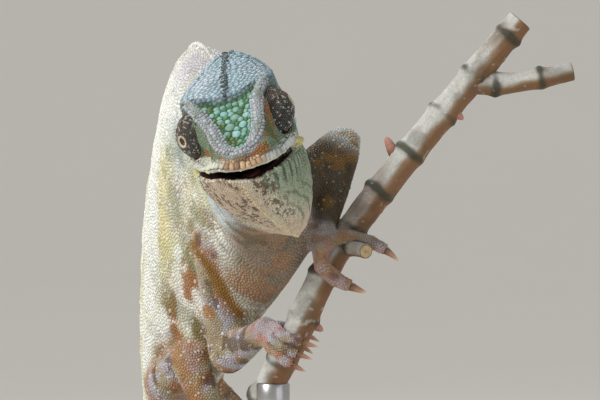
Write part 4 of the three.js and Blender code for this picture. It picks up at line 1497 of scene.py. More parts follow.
def wood_finish(pale, dark):
    """Oiled wood: wavy rings, broad clouds and fine dark pores along the grain."""
    finish = Finish("stand_wood")
    figure = finish.noise(16, 1.5, (1, 0.1, 1))
    rings = finish.node("ShaderNodeMath", {"operation": "SINE"}, {0: figure * 55})["Value"]
    pore = finish.noise(0.5, 3.0, (1, 0.05, 1))
    broad = finish.noise(14, 2.0, (1, 0.3, 1))
    grain = finish.mix(finish.range(rings, -0.9, 1, 0.8), pale, dark)
    grain = finish.mix(finish.range(broad, 0.3, 0.7, 0.35), grain, dark)
    grain = finish.mix(finish.range(pore, 0.58, 0.72, 0.6), grain, tuple(c * 0.35 for c in dark))
    return finish.surface(
        Base_Color=grain,
        Roughness=pore * 0.2 + 0.34,
        Normal=finish.bump(pore, 0.05, 0.35),
    )


def steel_finish(colour):
    """Steel brushed lengthwise."""
    finish = Finish("brushed_steel")
    brush = finish.noise(0.35, 4.0, (1, 1, 0.03))
    shade = finish.mix(finish.range(brush, 0.3, 0.7), colour, tuple(c * 0.8 for c in colour))
    return finish.surface(
        Base_Color=shade,
        Metallic=1.0,
        Roughness=brush * 0.22 + 0.2,
        Normal=finish.bump(brush, 0.01, 0.3),
    )


def floor_finish(colour):
    """A matt, pale studio floor, a little lit of itself."""
    finish = Finish("floor")
    cloud = finish.mix(finish.range(finish.noise(400), 0.3, 0.7, 0.06), colour, (0.5, 0.49, 0.47))
    return finish.surface(
        Base_Color=cloud,
        Roughness=finish.noise(90) * 0.1 + 0.78,
        Emission_Color=cloud,
        Emission_Strength=0.28,
    )


# ---------------------------------------------------------------- small solids
class Pile:
    """Points, faces and colours of several closed forms that make one mesh."""

    def __init__(self):
        self.points, self.colours, self.corners, self.starts = [], [], [], []
        self.total = 0
        self.corner_total = 0

    def grid(self, rows, colours, closed_ends=True):
        """A form lofted through rings of equal size, with a cap at each end."""
        rows = np.asarray(rows)
        n, m = rows.shape[:2]
        at = np.arange(n * m).reshape(n, m)
        right = np.roll(at, -1, axis=1)
        quads = np.stack((at[:-1], right[:-1], right[1:], at[1:]), axis=-1).reshape(-1, 4)
        faces = [quads.ravel()]
        starts = [np.arange(len(quads)) * 4]
        if closed_ends:
            faces += [at[0][::-1], at[-1]]
            starts += [[quads.size], [quads.size + m]]
        corners = np.concatenate(faces)
        self.points.append(rows.reshape(-1, 3))
        self.colours.append(np.broadcast_to(colours, (n, m, 3)).reshape(-1, 3))
        self.corners.append(corners + self.total)
        self.starts.append(np.concatenate(starts) + self.corner_total)
        self.total += n * m
        self.corner_total += len(corners)

    def piece(self, name):
        """The forms as one painted object."""
        made_piece = mesh_object(name, np.vstack(self.points), np.concatenate(self.corners),
                                 np.concatenate(self.starts))
        paint_points(made_piece, np.vstack(self.colours))
        return made_piece


def lofted(name, rows, colours):
    """A piece of one closed form."""
    pile = Pile()
    pile.grid(rows, colours)
    return pile.piece(name)


def frames_along(line):
    """Two unit vectors across a line at each of its points, without twist."""
    way = unit(np.gradient(line, axis=0))
    first = unit(np.cross(way[0], (0.3, 0.9, 0.2)))
    side = [first]
    for w in way[1:]:
        s = side[-1] - w * (side[-1] @ w)
        side.append(s / np.linalg.norm(s))
    side = np.array(side)
    return side, np.cross(way, side)


def sweep(line, radii, around):
    """Rings round a line; radii has one number for each point of the line or for each point of each ring."""
    side, up = frames_along(line)
    turn = circle(around)
    radii = np.broadcast_to(np.asarray(radii, float).reshape(len(line), -1), (len(line), around))
    return (line[:, None] + side[:, None] * (radii * np.cos(turn))[..., None]
            + up[:, None] * (radii * np.sin(turn))[..., None])


def two_across(axis):
    """Two unit vectors square to an axis and to each other."""
    first = unit(np.cross(axis, (0.31, 0.2, 0.93)))
    return first, np.cross(axis, first)


def lathe(profile, centre, axis, around):
    """Rings of a turned form: (radius, height) pairs round an axis from a centre."""
    axis = unit(axis)
    side, up = two_across(axis)
    turn = circle(around)
    profile = np.asarray(profile, float)
    out = side * np.cos(turn)[:, None] + up * np.sin(turn)[:, None]
    return np.asarray(centre) + profile[:, None, :1] * out[None] + profile[:, None, 1:] * axis


# ---------------------------------------------------------------- the eyes
def turret_shape(angle, turn):
    """A turret's radius at an angle from the gaze and a turn round it: drawn out at the lids."""
    low = 0.10 * np.sin(angle * 26 + 1.2 * np.sin(turn * 2)) * smoothstep(0.8, 1.25, angle)
    wrinkle = np.sin(turn * 17 + 3 * np.sin(angle * 5))
    low += 0.05 * wrinkle * smoothstep(0.25, 0.5, angle) * smoothstep(1.2, 0.8, angle)
    return TURRET_R - 0.22 + 0.42 * np.exp(-(angle / 0.42) ** 2) + low


def turret_middle(side):
    return from_head((EYE_SPREAD if side == "left" else -EYE_SPREAD, 0, 0))


def turret_points(side, angle, turn, lift=0.0):
    """Points over a turret at angles from its gaze and turns round it, and the ways out to them."""
    gaze = unit(GAZE[side])
    first, second = two_across(gaze)
    radius = turret_shape(angle, turn) + lift
    aside = first * np.cos(turn)[..., None] + second * np.sin(turn)[..., None]
    way = gaze * np.cos(angle)[..., None] + aside * np.sin(angle)[..., None]
    return turret_middle(side) + way * radius[..., None], way


LIDS = 0.205  # angle from the gaze to the lids' edge
TURRET_END = 2.3  # angle from the gaze to the turret's root
EYEBALL_R = 1.9


def build_turret(side, dark, rim):
    """The cone of fused lids under its granules, rolled in at the edge."""
    angle = np.concatenate((np.linspace(TURRET_END, LIDS, 44), np.full(5, LIDS)))
    inward = np.concatenate((np.zeros(44), (0.12, 0.34, 0.7, 1.2, 1.8)))
    narrow = np.concatenate((np.zeros(44), (0.035, 0.05, 0.055, 0.05, 0.04)))
    turn = circle(72)
    rows, colours = [], []
    for a, down, less in zip(angle, inward, narrow):
        at, _ = turret_points(side, np.full(72, a - less), turn, -down - 0.05)
        rows.append(at)
        colours.append(np.tile(rim if a <= LIDS + 0.03 and down < 0.3 else dark, (72, 1)))
    return lofted("turret_" + side, rows, np.array(colours))


def turret_bunch(side, rng):
    """Granules in rings round the lids, from fine at their edge to coarser at the turret's root."""
    angles, turns, sizes = [], [], []
    angle = LIDS + 0.022
    row = 0
    while angle < TURRET_END - 0.1:
        size = 0.17 + 0.1 * min(1.0, (angle - LIDS) / 0.7)
        count = max(int(2 * math.pi * TURRET_R * math.sin(angle) / (2 * size)), 8)
        turn = (np.arange(count) + 0.5 * (row % 2)) * 2 * math.pi / count + 0.37 * row
        angles.append(np.full(count, angle) + rng.normal(0, 0.007, count))
        turns.append(turn + rng.normal(0, 0.1, count) * 2 * math.pi / count)
        sizes.append(np.full(count, size) * rng.uniform(0.92, 1.1, count))
        angle += 1.8 * size / TURRET_R
        row += 1
    angle, turn, size = (np.concatenate(v) for v in (angles, turns, sizes))
    root, out = turret_points(side, angle, turn)
    near = neighbours(root, 8)
    back = out * np.cos(angle)[:, None] - unit(GAZE[side])
    spot = 0.5 + 0.48 * (angle / TURRET_END)[:, None] * np.column_stack((np.cos(turn), np.sin(turn)))
    return Bunch(root, out, back, size, np.full(len(size), 0.5), root[near], size[near], spot), angle, turn


def turret_colours(bunch, angle, turn, palette, rng):
    """Dark rays with pale dots, and a pale edge to the lids."""
    paint = Paint(len(angle), palette, "lid")
    paint.lay("lid_warm", smoothstep(0.45, 0.7, mottle(bunch.root, 3.4, 41)))
    rays = smoothstep(0.35, 0.8, np.sin(turn * 9 + 2.0 * np.sin(angle * 3)))
    paint.lay("lid_deep", rays * 0.6 * smoothstep(0.3, 0.6, angle))
    dotted = 0.08 + 0.16 * smoothstep(0.35, 0.65, mottle(bunch.root, 3.0, 43))
    dots = (rng.random(len(angle)) < dotted) * rng.uniform(0.25, 0.85, len(angle))
    paint.lay("lid_dot", dots * (angle > 0.3))
    paint.lay("lid_edge", smoothstep(LIDS + 0.075, LIDS + 0.045, angle) * 0.95)
    return paint.rgb


def build_eyeball(side, palette):
    """The glossy ball behind the lids: pupil, a gilt line and a dark iris."""
    gaze = unit(GAZE[side])
    centre = turret_middle(side) + gaze * (TURRET_R - EYEBALL_R - 0.35)
    angle = np.linspace(0.02, 2.0, 34)
    bulge = EYEBALL_R + 0.10 * np.exp(-(angle / 0.34) ** 2)
    rows = lathe(np.column_stack((bulge * np.sin(angle), bulge * np.cos(angle))), centre, gaze, 48)[::-1]
    paint = Paint(len(angle), palette, "iris")
    paint.lay("gilt", smoothstep(0.08, 0.04, np.abs(angle - 0.34)))
    paint.lay("pupil", smoothstep(0.3, 0.27, angle))
    return lofted("eyeball_" + side, rows, paint.rgb[::-1][:, None])


TONGUE_AT, TONGUE_HALF = (1.8, -14.6, -10.2), (2.2, 4.2, 0.8)


def build_tongue(colour):
    """The tongue's low cushion on the floor of the mouth, creased along its middle."""
    wide, deep, high = TONGUE_HALF
    turn = circle(48)
    rows, tints = [], []
    for a in np.linspace(0.04, math.pi - 0.04, 24):
        x, y = wide * math.sin(a) * np.cos(turn), deep * math.sin(a) * np.sin(turn)
        z = high * math.cos(a) - 0.15 * np.exp(-(x / 0.5) ** 2) * (a < 1.5)
        z = z + 0.06 * noise(np.column_stack((x, y, 0 * x)), 0.9, 50)
        rows.append(from_head(np.column_stack((x, y, z)) + TONGUE_AT))
        tints.append(np.tile(colour, (48, 1)))
    return lofted("tongue_pad", rows, np.array(tints))


def build_claws(foot, palette):
    """A foot's hooked claws, dark at the root and pale at the point."""
    pile = Pile()
    share = np.linspace(0, 1, 13)
    for name, tip, heading, bend in toe_tips():
        if name != foot:
            continue
        ahead = 0.15 + (CLAW_LENGTH + 0.65) * share
        line = tip + heading * ahead[:, None] + bend * (CLAW_LENGTH * 0.6 * share**2)[:, None]
        radius = 0.86 * (1 - share) ** 0.75 * (1 - 0.1 * share) + 0.07
        paint = Paint(len(share), palette, "claw_root")
        paint.lay("claw", smoothstep(0.1, 0.5, share))
        paint.lay("claw_tip", smoothstep(0.55, 1.0, share))
        pile.grid(sweep(line, radius, 12)[:, ::-1][::-1], paint.rgb[::-1][:, None])
    return pile.piece("claws_" + foot)


# ---------------------------------------------------------------- the perch
TWIG = np.array(((55, 46, 10.8, 2.7), (63, 46, 10.6, 2.5), (72, 46, 11.8, 2.3), (80, 46, 13.6, 2.2)))
STALK = {"at": (25, 41.5, -28), "way": (0.42, -0.9, -0.12), "length": 12, "radius": 1.9}
BUDS = (
    ((37.4, 45, -6.6), (-0.45, 0, 0.9)),
    ((50, 45.6, 5), (0.75, -0.2, -0.6)),
    ((16, 44, -46), (0.8, -0.1, -0.5)),
)
LAST_KNOT = 178  # how far along the branch knots may stand
HELD = 0.37  # where along the branch the rod holds it


def bark_radius(line, radius, run, around, knots):
    """A stem's radius all over: swollen at its knots, wrinkled lengthwise and a little uneven."""
    flat = sweep(line, radius, around).reshape(-1, 3)
    turn = circle(around)
    swell = np.zeros((len(line), around))
    for k in knots:
        swell += np.exp(-(np.abs(run - k) / 1.25) ** 1.8)[:, None] * (0.72 + 0.28 * np.sin(turn + 3.7 * k))
    wrinkle = np.sin(turn * 11 + 5 * noise(np.column_stack((run, 0 * run, 0 * run)), 7, 60)[:, None])
    whole = radius[:, None] + 0.75 * swell + 0.07 * wrinkle * (1 - 0.5 * np.clip(swell, 0, 1))
    whole = whole + 0.5 * (mottle(flat, 5, 61).reshape(len(line), around) - 0.5)
    lenticel = smoothstep(0.84, 0.88, noise(flat, 0.9, 62)).reshape(len(line), around)
    return whole + 0.14 * lenticel, swell, lenticel


def stem(pile, points, palette, step, around, knots=(), cut=(True, True)):
    """Adds a stem of the branch, with a bevelled cut at each end."""
    fine = curve(points, 400)
    run = run_of(fine[:, :3])
    at = np.linspace(0, run[-1], int(run[-1] / step))
    line = np.column_stack([np.interp(at, run, fine[:, k]) for k in range(4)])
    whole, swell, lenticel = bark_radius(line[:, :3], line[:, 3], at, around, np.asarray(knots))
    rows = sweep(line[:, :3], whole, around)
    flat = rows.reshape(-1, 3)
    normal = unit(rows - line[:, None, :3]).reshape(-1, 3)
    paint = Paint(len(flat), palette, "bark")
    # Painted light and shade: the side facing the key light, up and to the left, is painted pale as sunlight,
    # and the side turned from it warm orange-brown as shade.
    sun = normal @ unit((-0.72, -0.1, 0.68)) + 0.9 * (mottle(flat, 7, 66) - 0.5)
    paint.lay("bark_warm", smoothstep(0.1, -0.35, sun) * 0.8)
    paint.lay("bark_pale", smoothstep(-0.05, 0.3, sun) * 0.9)
    paint.lay("bark_warm", blot(flat, 10, 63, 0.2, 0.1) * 0.5)
    paint.lay("bark_dark", blot(flat, 5, 64, 0.18, 0.1) * 0.4)
    ring = np.clip(swell, 0, 1).ravel() + 0.8 * (mottle(flat, 2.6, 65) - 0.5)
    paint.lay("bark_knot", smoothstep(0.2, 0.75, ring) * 0.92)
    paint.lay("bark_pale", lenticel.ravel() * 0.5)
    colours = paint.rgb.reshape(len(line), around, 3)
    way = unit(np.gradient(line[:, :3], axis=0))
    for end, index, sign in ((0, 0, -1), (1, -1, 1)):
        if not cut[end]:
            continue
        rings, tints = [], []
        centre = line[index, :3]
        spoke = rows[index] - centre
        for share in (0.93, 0.8, 0.62, 0.45, 0.28, 0.12):
            proud = (0.16 if share < 0.9 else 0.1) + 0.05 * math.sin(share * 40)
            rings.append(centre + spoke * share + way[index] * sign * proud)
            wood = palette["cut_wood"] if share < 0.85 else palette["bark_dark"]
            pith = 0.6 if share < 0.2 else 1 - 0.12 * (share in (0.62, 0.28))
            tints.append(np.tile(np.array(wood) * pith, (around, 1)))
        if end == 0:
            rows = np.concatenate((rings[::-1], rows))
            colours = np.concatenate((tints[::-1], colours))
        else:
            rows = np.concatenate((rows, rings))
            colours = np.concatenate((colours, tints))
    pile.grid(rows, colours)


def build_perch(palette, rng):
    """The cut branch with its twig, a stub and buds."""
    pile = Pile()
    knots = np.cumsum(rng.uniform(10.5, 14, 16)) - 4
    stem(pile, BRANCH, palette, 0.45, 60, knots[knots < LAST_KNOT])
    stem(pile, TWIG, palette, 0.45, 36, (6.5, 17.5), (False, True))
    root = np.array(STALK["at"], float)
    way = unit(STALK["way"])
    runs = np.array((-1, 3, 7, STALK["length"]))
    stub = np.column_stack((root + way * runs[:, None], STALK["radius"] * (1 - 0.01 * runs)))
    stem(pile, stub, palette, 0.45, 30, (5.5,), (False, True))
    for root, way in BUDS:
        way = unit(way)
        share = np.linspace(0, 1, 18)
        line = np.array(root) + way * (7 * share - 2)[:, None]
        radius = 1.4 * np.sqrt(np.clip(1 - share**2.2, 0, 1)) + 0.04
        radius = radius + 0.12 * np.abs(np.sin(share * 9)) * (1 - share)
        paint = Paint(len(share), palette, "bark_warm")
        paint.lay("bud", smoothstep(0.3, 0.75, share))
        paint.lay("bark_dark", smoothstep(0.1, 0.02, np.abs(np.sin(share * 9))) * 0.5)
        pile.grid(sweep(line, radius, 20), paint.rgb[:, None])
    return pile.piece("perch_stem")


# ---------------------------------------------------------------- the stand
def build_base(wide, deep, thick, corner):
    """The base: a rounded plate with an eased upper edge and a shadow line under it."""
    profile = ((0, 2.2), (0, 0.9), (0.35, 0.35), (0.9, 0.0), (thick - 2.6, 0.0), (thick - 1.6, 0.22),
               (thick - 0.8, 0.75), (thick - 0.25, 1.55), (thick, 2.6), (thick, 9.0), (thick, 24.0))
    per_corner = 14
    rows = []
    for height, inset in profile:
        radius = max(corner - inset, 2.0)
        x, y = wide / 2 - inset - radius, deep / 2 - inset - radius
        ring = []
        for quarter in range(4):
            cx = x if quarter in (0, 3) else -x
            cy = y if quarter in (0, 1) else -y
            for k in range(per_corner + 1):
                turn = (quarter + k / per_corner) * math.pi / 2
                ring.append((cx + radius * math.cos(turn), cy + radius * math.sin(turn), height))
        rows.append(np.array(ring) - HEAD_AT)
    return lofted("stand_plate", rows, (0.3, 0.2, 0.1))


def build_post(rod_radius, foot_top):
    """The steel rod with its collar on the base and the cradle under the branch."""
    held = curve_points(BRANCH, [HELD])[0][0, :3] + HEAD_AT
    r = rod_radius
    low, high = foot_top + 0.02, held[2] - 1.0
    profile = [(0.05, low), (2 * r - 0.5, low), (2 * r, low + 0.4), (2 * r, low + 4.6),
               (2 * r - 0.35, low + 5.4), (2 * r - 1.1, low + 5.9), (r + 0.25, low + 6.0), (r, low + 6.2)]
    heights = np.linspace(low + 8, high - 9.6, 24)
    profile += [(r, h) for h in heights]
    profile += [(r, high - 8.2), (1.6 * r - 0.5, high - 8.0), (1.6 * r, high - 7.5), (1.6 * r, high - 0.4),
                (1.6 * r - 0.35, high), (1.6 * r - 1.0, high), (0.05, high - 0.6)]
    rows = lathe(profile, np.array((held[0], held[1], 0)) - HEAD_AT, (0, 0, 1), 40)
    return lofted("stand_post", rows, (0.6, 0.6, 0.6))


# ---------------------------------------------------------------- what a user may change
def tint(name, description, *rgb):
    """A colour for the panel, given as 0 to 255 on a screen."""
    return bpy.props.FloatVectorProperty(
        name=name, description=description, subtype="COLOR", size=3, min=0, max=1, default=linear(*rgb)
    )


def length(name, description, millimetres):
    """A length for the panel."""
    return bpy.props.FloatProperty(
        name=name, description=description, default=millimetres * MM, subtype="DISTANCE", unit="LENGTH"
    )


def watts(name, description, power):
    """A lamp's power for the panel."""
    return bpy.props.FloatProperty(name=name, description=description, default=power, min=0, unit="POWER")


class ChameleonSkin(bpy.types.PropertyGroup):
    """The skin's sizes and its colours."""

    depth: length("Coat depth", "How far the skin lies inside the outline, under its scales", 0.25)
    seed: bpy.props.IntProperty(name="Seed", description="Changes how the scales are strewn", default=7)
    turns: bpy.props.IntProperty(name="Settling", description="Rounds of moving the scales apart", default=14)
    flank: tint("Flank", "Ground colour of the body", 228, 224, 204)
    green_cream: tint("Green cream", "Pale green clouds on the body", 204, 212, 176)
    tan: tint("Tan", "Tan marbling on the body", 182, 142, 94)
    olive: tint("Olive", "Olive marbling and bars", 118, 108, 58)
    # The forearm's dark olive is painted shade.
    dark_olive: tint("Dark olive", "Forearm", 70, 58, 36)
    russet: tint("Russet", "Red-brown marbling low on the flank", 164, 104, 54)
    lilac: tint("Lilac", "Bluish pale blotches", 192, 190, 206)
    yellow: tint("Yellow", "Pale yellow band along the flank", 226, 214, 150)
    # White also paints the highlight along the flank's stripe.
    white: tint("White", "Stripe along the flank", 244, 247, 242)
    # Gold paints the shadow in the crease between the right arm and the chest, as well as blotches on the
    # left forearm.
    gold: tint("Gold", "Line from the shoulder to the hand", 140, 100, 34)
    # The belly's grey-brown is partly painted shade under the throat and the body.
    belly: tint("Belly", "Chest and underside", 148, 132, 116)
    blue_white: tint("Blue white", "Pale band on neck and shoulder", 200, 212, 222)
    limb: tint("Limb", "Ground colour of the limbs", 172, 158, 130)
    salmon: tint("Salmon", "Marks on the feet", 196, 124, 92)
    orange: tint("Orange", "Orange-brown patches", 146, 94, 40)
    rust: tint("Rust", "Warm patches on chest and limbs", 176, 120, 66)
    umber: tint("Umber", "Dark brown patches and dashes", 84, 52, 36)
    cheek: tint("Cheek", "Sides of the head", 118, 138, 116)
    moss_green: tint("Moss green", "Green patches on cheek and crown", 80, 104, 50)
    crown: tint("Crown", "Green crown", 66, 116, 74)
    # Dark green is the own colour of marks on the neck and throat, and it also paints the shadow at the back
    # of the crown.
    dark_green: tint("Dark green", "Darker green at the back of the crown", 60, 88, 68)
    aqua: tint("Aqua", "Pale plates of the crown", 140, 192, 190)
    # The casque's blue-grey is partly a painted reflection of the sky on the helmet's upward faces.
    casque: tint("Casque", "Back of the helmet", 134, 164, 178)
    crest: tint("Crest", "Ridge round the crown", 176, 182, 192)
    # Slate is the helmet's own dark grey, and it also paints shade on the casque.
    slate: tint("Slate", "Middle ridge of the helmet", 70, 84, 92)
    throat: tint("Throat", "Ground colour of the throat", 216, 212, 192)
    grey_green: tint("Grey green", "Left side of the throat", 146, 168, 142)
    pink: tint("Pink", "Blush of the throat", 214, 180, 156)
    cream: tint("Cream", "Crest of the throat", 222, 206, 170)
    lip: tint("Lip", "Lips", 208, 212, 200)
    apricot: tint("Apricot", "Front of the upper lip", 194, 152, 112)
    corner: tint("Mouth corner", "Fold at the corner of the mouth", 216, 206, 134)
    # The near black inside of the mouth is painted shade.
    mouth: tint("Mouth", "Dark inside of the mouth", 44, 18, 14)
    tongue: tint("Tongue", "The tongue's top", 84, 42, 38)


class ChameleonEyes(bpy.types.PropertyGroup):
    """The colours of the eye turrets, the eyeballs and the claws."""

    seed: bpy.props.IntProperty(name="Seed", description="Changes the turrets' granules", default=11)
    lid: tint("Lid", "Ground colour of the turrets", 82, 83, 80)
    lid_warm: tint("Warm lid", "Warmer clouds on the turrets", 104, 90, 76)
    lid_deep: tint("Deep lid", "Dark rays on the turrets", 44, 38, 38)
    lid_dot: tint("Dots", "Pale dots on the turrets", 212, 208, 204)
    lid_edge: tint("Lid edge", "Rolled edge round the pupil", 206, 196, 178)
    iris: tint("Iris", "Ring round the pupil", 40, 26, 16)
    gilt: tint("Gilt line", "Fine gold line round the pupil", 196, 150, 84)
    pupil: tint("Pupil", "Pupil", 6, 5, 5)
    claw_root: tint("Claw root", "Claws where they leave the toes", 120, 84, 62)
    claw: tint("Claw", "Middle of the claws", 190, 140, 116)
    claw_tip: tint("Claw tip", "Points of the claws", 232, 208, 184)


class ChameleonPerch(bpy.types.PropertyGroup):
    """The branch's colours."""

    seed: bpy.props.IntProperty(name="Seed", description="Changes where the knots stand", default=3)
    bark: tint("Bark", "Ground colour of the bark", 150, 124, 96)
    # Warm bark paints the shade on the branch's underside as well as warm patches and the buds' bases; pale
    # bark paints the sunlight on its upper side as well as the lenticels.
    bark_warm: tint("Warm bark", "Orange-brown underside", 126, 84, 50)
    bark_pale: tint("Pale bark", "Weathered upper side", 208, 211, 208)
    bark_dark: tint("Dark bark", "Stains and cracks", 70, 58, 44)
    bark_knot: tint("Knots", "Dark green rings at the knots", 44, 52, 38)
    cut_wood: tint("Cut wood", "Sawn ends", 214, 184, 140)
    bud: tint("Bud", "Tips of the buds", 196, 140, 128)
    moss: tint("Moss", "Green film on the bark", 96, 104, 66)


class ChameleonStand(bpy.types.PropertyGroup):
    """The display stand's sizes and colours."""

    wide: length("Width", "Width of the base", 116)
    deep: length("Depth", "Depth of the base", 146)
    thick: length("Thickness", "Thickness of the base", 10)
    corner: length("Corner", "Radius of the base's corners", 12)
    rod: length("Rod radius", "Radius of the steel rod", 2.5)
    wood_pale: tint("Pale grain", "Light part of the wood's grain", 122, 80, 50)
    wood_dark: tint("Dark grain", "Dark part of the wood's grain", 74, 44, 28)
    steel: tint("Steel", "Rod and collar", 190, 190, 192)


class ChameleonStage(bpy.types.PropertyGroup):
    """The studio."""

    floor: tint("Floor", "Floor and backdrop", 206, 204, 198)
    sky: bpy.props.FloatProperty(name="Room light", description="Strength of even light", default=0.45, min=0)
    key: watts("Key light", "Main light, upper left", 8.5)
    fill: watts("Fill light", "Soft light, right", 2.0)
    rim: watts("Back light", "Light from behind", 5)
    lens: bpy.props.FloatProperty(name="Lens", description="Focal length in mm", default=186.5, min=10)


GROUPS = {
    "chameleon_skin": ChameleonSkin,
    "chameleon_eyes": ChameleonEyes,
    "chameleon_perch": ChameleonPerch,
    "chameleon_stand": ChameleonStand,
    "chameleon_stage": ChameleonStage,
}
made = {}  # the skin, from one operator to the next

MOST_TRIANGLES = 195000  # in one piece of the coat
TRUNK_PARTS = (-1, 0.36, 0.62, 2)  # where the trunk's coat is parted, in shares of its length
LARGE = 0.45  # half the size of the plates that get rounder outlines
FLOOR_REACH, FLOOR_COVE, FLOOR_TOP = 5.2, 1.2, 1.8  # metres: the floor's radius, its upturned edge and top
CAMERA_AT = (0.02264, -0.76, 0.15466)
LIGHTS_AIM = Vector((0.01, -0.02, 0.13))


def colours_of(group):
    """The colours of a property group by name."""
    chosen = [k for k, p in group.bl_rna.properties.items() if getattr(p, "subtype", "") == "COLOR"]
    return {k: tuple(getattr(group, k)) for k in chosen}


# ---------------------------------------------------------------- operators
class CHAMELEON_OT_stage(bpy.types.Operator):
    """Set up the floor, the backdrop, the lights and the camera"""

    bl_idname = "chameleon.stage"
    bl_label = "Stage"

    def execute(self, context):
        settings = context.scene.chameleon_stage
        turn = np.linspace(0, math.pi / 2, 14)
        inward, upward = FLOOR_COVE * (1 - np.sin(turn)), FLOOR_COVE * (1 - np.cos(turn))
        cove = np.column_stack((FLOOR_REACH - inward, upward))
        profile = np.vstack(((0.01, 0), (0.5, 0), (2.0, 0), cove, (FLOOR_REACH, FLOOR_TOP))) / MM
        rows = lathe(profile, -HEAD_AT + (0, 0, -0.02), (0, 0, 1), 96)
        pile = Pile()
        pile.grid(rows[::-1], (0.8, 0.8, 0.8), closed_ends=False)
        floor = pile.piece("studio_floor")
        floor.data.materials.append(floor_finish(tuple(settings.floor)))
        world = bpy.data.worlds.new("room")
        world.use_nodes = True
        world.node_tree.nodes["Background"].inputs["Color"].default_value = (1, 0.99, 0.97, 1)
        world.node_tree.nodes["Background"].inputs["Strength"].default_value = settings.sky
        context.scene.world = world
        lights = (
            ("key_light", settings.key, 0.45, (-0.75, -0.5, 0.8), (1.0, 0.985, 0.95)),
            ("fill_light", settings.fill, 0.9, (0.9, -0.9, 0.4), (0.93, 0.96, 1.0)),
            ("back_light", settings.rim, 0.5, (-0.35, 0.85, 0.9), (1.0, 0.98, 0.95)),
        )
        for name, power, size, at, colour in lights:
            data = bpy.data.lights.new(name, "AREA")
            data.energy = power
            data.size = size
            data.color = colour
            lamp = bpy.data.objects.new(name, data)
            lamp.location = at
            lamp.rotation_euler = (LIGHTS_AIM - Vector(at)).to_track_quat("-Z", "Y").to_euler()
            context.scene.collection.objects.link(lamp)
        camera = bpy.data.objects.new("camera", bpy.data.cameras.new("camera"))
        camera.data.lens = settings.lens
        camera.data.sensor_width = 36
        camera.data.clip_start = 0.05
        camera.data.clip_end = 20
        camera.location = CAMERA_AT
        camera.rotation_euler = (math.pi / 2, 0, 0)
        context.scene.collection.objects.link(camera)
        context.scene.camera = camera
        context.scene.view_settings.view_transform = "Standard"
        return {"FINISHED"}


class CHAMELEON_OT_skin(bpy.types.Operator):
    """Build the one skin over all the flesh"""

    bl_idname = "chameleon.skin"
    bl_label = "Skin"

    def execute(self, context):
        settings = context.scene.chameleon_skin
        hide = build_skin(settings.depth / MM)
        unwrap(hide.piece)
        everywhere = np.arange(len(hide.points))
        colours = animal_paint(hide, hide.points, everywhere, colours_of(settings))
        paint_points(hide.piece, colours)
        settle(hide.piece, hide_finish("skin", 0.55, 0.05), FLESH)
        made["hide"] = hide
        return {"FINISHED"}


class CHAMELEON_OT_coat(bpy.types.Operator):
    """Cover the skin with its scales, plates and crests"""

    bl_idname = "chameleon.coat"
    bl_label = "Scales"

    def execute(self, context):
        settings = context.scene.chameleon_skin
        hide = made["hide"]
        coat = Coat(hide, np.random.default_rng(settings.seed), settings.turns)
        rng = np.random.default_rng(settings.seed + 1)
        spots = rng.random(len(coat.root))
        colours = animal_paint(hide, coat.root, coat.vertex, colours_of(settings), coat.kind, spots)
        colours = np.clip(colours * rng.normal(1, 0.08, (len(colours), 1)), 0, 1)
        finish = hide_finish("scales", 0.5, 0.03)
        regions = list(REGIONS)
        strongest = np.argmax([hide.masks[r][coat.vertex] for r in regions], axis=0)
        share, side = hide.share[coat.vertex], hide.side[coat.vertex]
        large = (coat.lift < FLAT) & (coat.size > LARGE)
        places = np.flatnonzero(large & coat.keep)
        settle(scale_mesh("scales_plates", coat.bunch(places), colours[places], 12), finish)
        for index, region in enumerate(regions):
            own = (strongest == index) & coat.keep & ~large
            parts = {region: own}
            if region == "trunk":
                length_part = np.searchsorted(TRUNK_PARTS, share) - 1
                parts = {
                    f"trunk_{name}_{k}": own & ((side > 0) == (name == "left")) & (length_part == k)
                    for name in ("left", "right") for k in range(3)
                }
            corners = 6 if region in ("trunk", "tail", "neck") else 7
            for name, chosen in parts.items():
                places = np.flatnonzero(chosen)
                if len(places) * (4 * corners - 2) > MOST_TRIANGLES:
                    raise RuntimeError(f"{name} has too many scales for one piece: {len(places)}")
                piece = scale_mesh("scales_" + name, coat.bunch(places), colours[places], corners)
                settle(piece, finish)
        return {"FINISHED"}


class CHAMELEON_OT_eyes(bpy.types.Operator):
    """Build the eye turrets, their granules and the eyeballs"""

    bl_idname = "chameleon.eyes"
    bl_label = "Eyes"

    def execute(self, context):
        settings = context.scene.chameleon_eyes
        palette = colours_of(settings)
        rng = np.random.default_rng(settings.seed)
        lid = hide_finish("eyelid", 0.5, 0.03)
        gloss = eye_finish()
        for side in ("left", "right"):
            turret = build_turret(side, palette["lid_deep"], palette["lid_edge"])
            settle(turret, lid, ["eye_turret_" + side])
            bunch, angle, turn = turret_bunch(side, rng)
            colours = turret_colours(bunch, angle, turn, palette, rng)
            settle(scale_mesh("granules_" + side, bunch, colours, 6), lid)
            settle(build_eyeball(side, palette), gloss, ["eye_" + side])
        return {"FINISHED"}


class CHAMELEON_OT_mouth(bpy.types.Operator):
    """Build the tongue"""

    bl_idname = "chameleon.mouth"
    bl_label = "Tongue"

    def execute(self, context):
        colour = tuple(context.scene.chameleon_skin.tongue)
        settle(build_tongue(colour), wet_finish("tongue_flesh", colour, 0.28), ["tongue"])
        return {"FINISHED"}


class CHAMELEON_OT_claws(bpy.types.Operator):
    """Build the claws of all four feet"""

    bl_idname = "chameleon.claws"
    bl_label = "Claws"

    def execute(self, context):
        palette = colours_of(context.scene.chameleon_eyes)
        horn = claw_finish()
        for foot in FEET:
            settle(build_claws(foot, palette), horn)
        return {"FINISHED"}


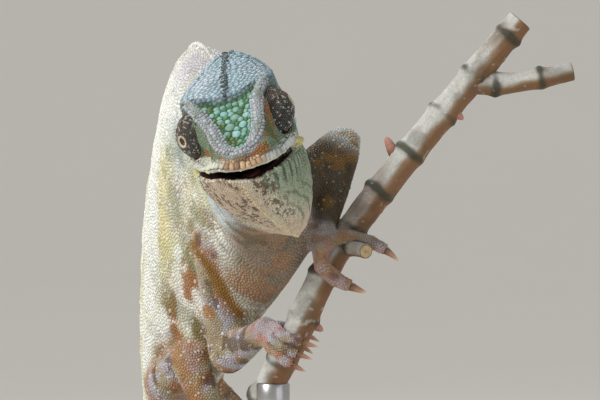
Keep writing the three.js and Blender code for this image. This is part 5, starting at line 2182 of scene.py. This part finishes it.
class CHAMELEON_OT_perch(bpy.types.Operator):
    """Build the cut branch"""

    bl_idname = "chameleon.perch"
    bl_label = "Perch"

    def execute(self, context):
        settings = context.scene.chameleon_perch
        palette = colours_of(settings)
        piece = build_perch(palette, np.random.default_rng(settings.seed))
        settle(piece, bark_finish(palette["moss"]), ["perch_branch"])
        return {"FINISHED"}


class CHAMELEON_OT_stand(bpy.types.Operator):
    """Build the wooden base and the steel rod"""

    bl_idname = "chameleon.stand"
    bl_label = "Stand"

    def execute(self, context):
        settings = context.scene.chameleon_stand
        thick = settings.thick / MM
        base = build_base(settings.wide / MM, settings.deep / MM, thick, settings.corner / MM)
        wood = wood_finish(tuple(settings.wood_pale), tuple(settings.wood_dark))
        settle(base, wood, ["stand_base"])
        post = build_post(settings.rod / MM, thick)
        settle(post, steel_finish(tuple(settings.steel)), ["stand_rod"])
        return {"FINISHED"}


OPERATORS = (
    CHAMELEON_OT_stage,
    CHAMELEON_OT_skin,
    CHAMELEON_OT_coat,
    CHAMELEON_OT_eyes,
    CHAMELEON_OT_mouth,
    CHAMELEON_OT_claws,
    CHAMELEON_OT_perch,
    CHAMELEON_OT_stand,
)


class CHAMELEON_PT_panel(bpy.types.Panel):
    """The chameleon's pieces and their settings"""

    bl_idname = "CHAMELEON_PT_panel"
    bl_label = "Chameleon"
    bl_space_type = "VIEW_3D"
    bl_region_type = "UI"
    bl_category = "Chameleon"

    def draw(self, context):
        for operator in OPERATORS:
            self.layout.operator(operator.bl_idname)
        for name in GROUPS:
            settings = getattr(context.scene, name)
            box = self.layout.box()
            box.label(text=name.split("_")[1].title())
            for key in settings.__annotations__:
                box.prop(settings, key)


def register():
    for name, group in GROUPS.items():
        bpy.utils.register_class(group)
        setattr(bpy.types.Scene, name, bpy.props.PointerProperty(type=group))
    for operator in OPERATORS:
        bpy.utils.register_class(operator)
    bpy.utils.register_class(CHAMELEON_PT_panel)


def unregister():
    bpy.utils.unregister_class(CHAMELEON_PT_panel)
    for operator in reversed(OPERATORS):
        bpy.utils.unregister_class(operator)
    for name, group in GROUPS.items():
        delattr(bpy.types.Scene, name)
        bpy.utils.unregister_class(group)


def main():
    register()
    bpy.ops.chameleon.stage()
    bpy.ops.chameleon.skin()
    bpy.ops.chameleon.coat()
    bpy.ops.chameleon.eyes()
    bpy.ops.chameleon.mouth()
    bpy.ops.chameleon.claws()
    bpy.ops.chameleon.perch()
    bpy.ops.chameleon.stand()


if __name__ == "__main__":
    main()
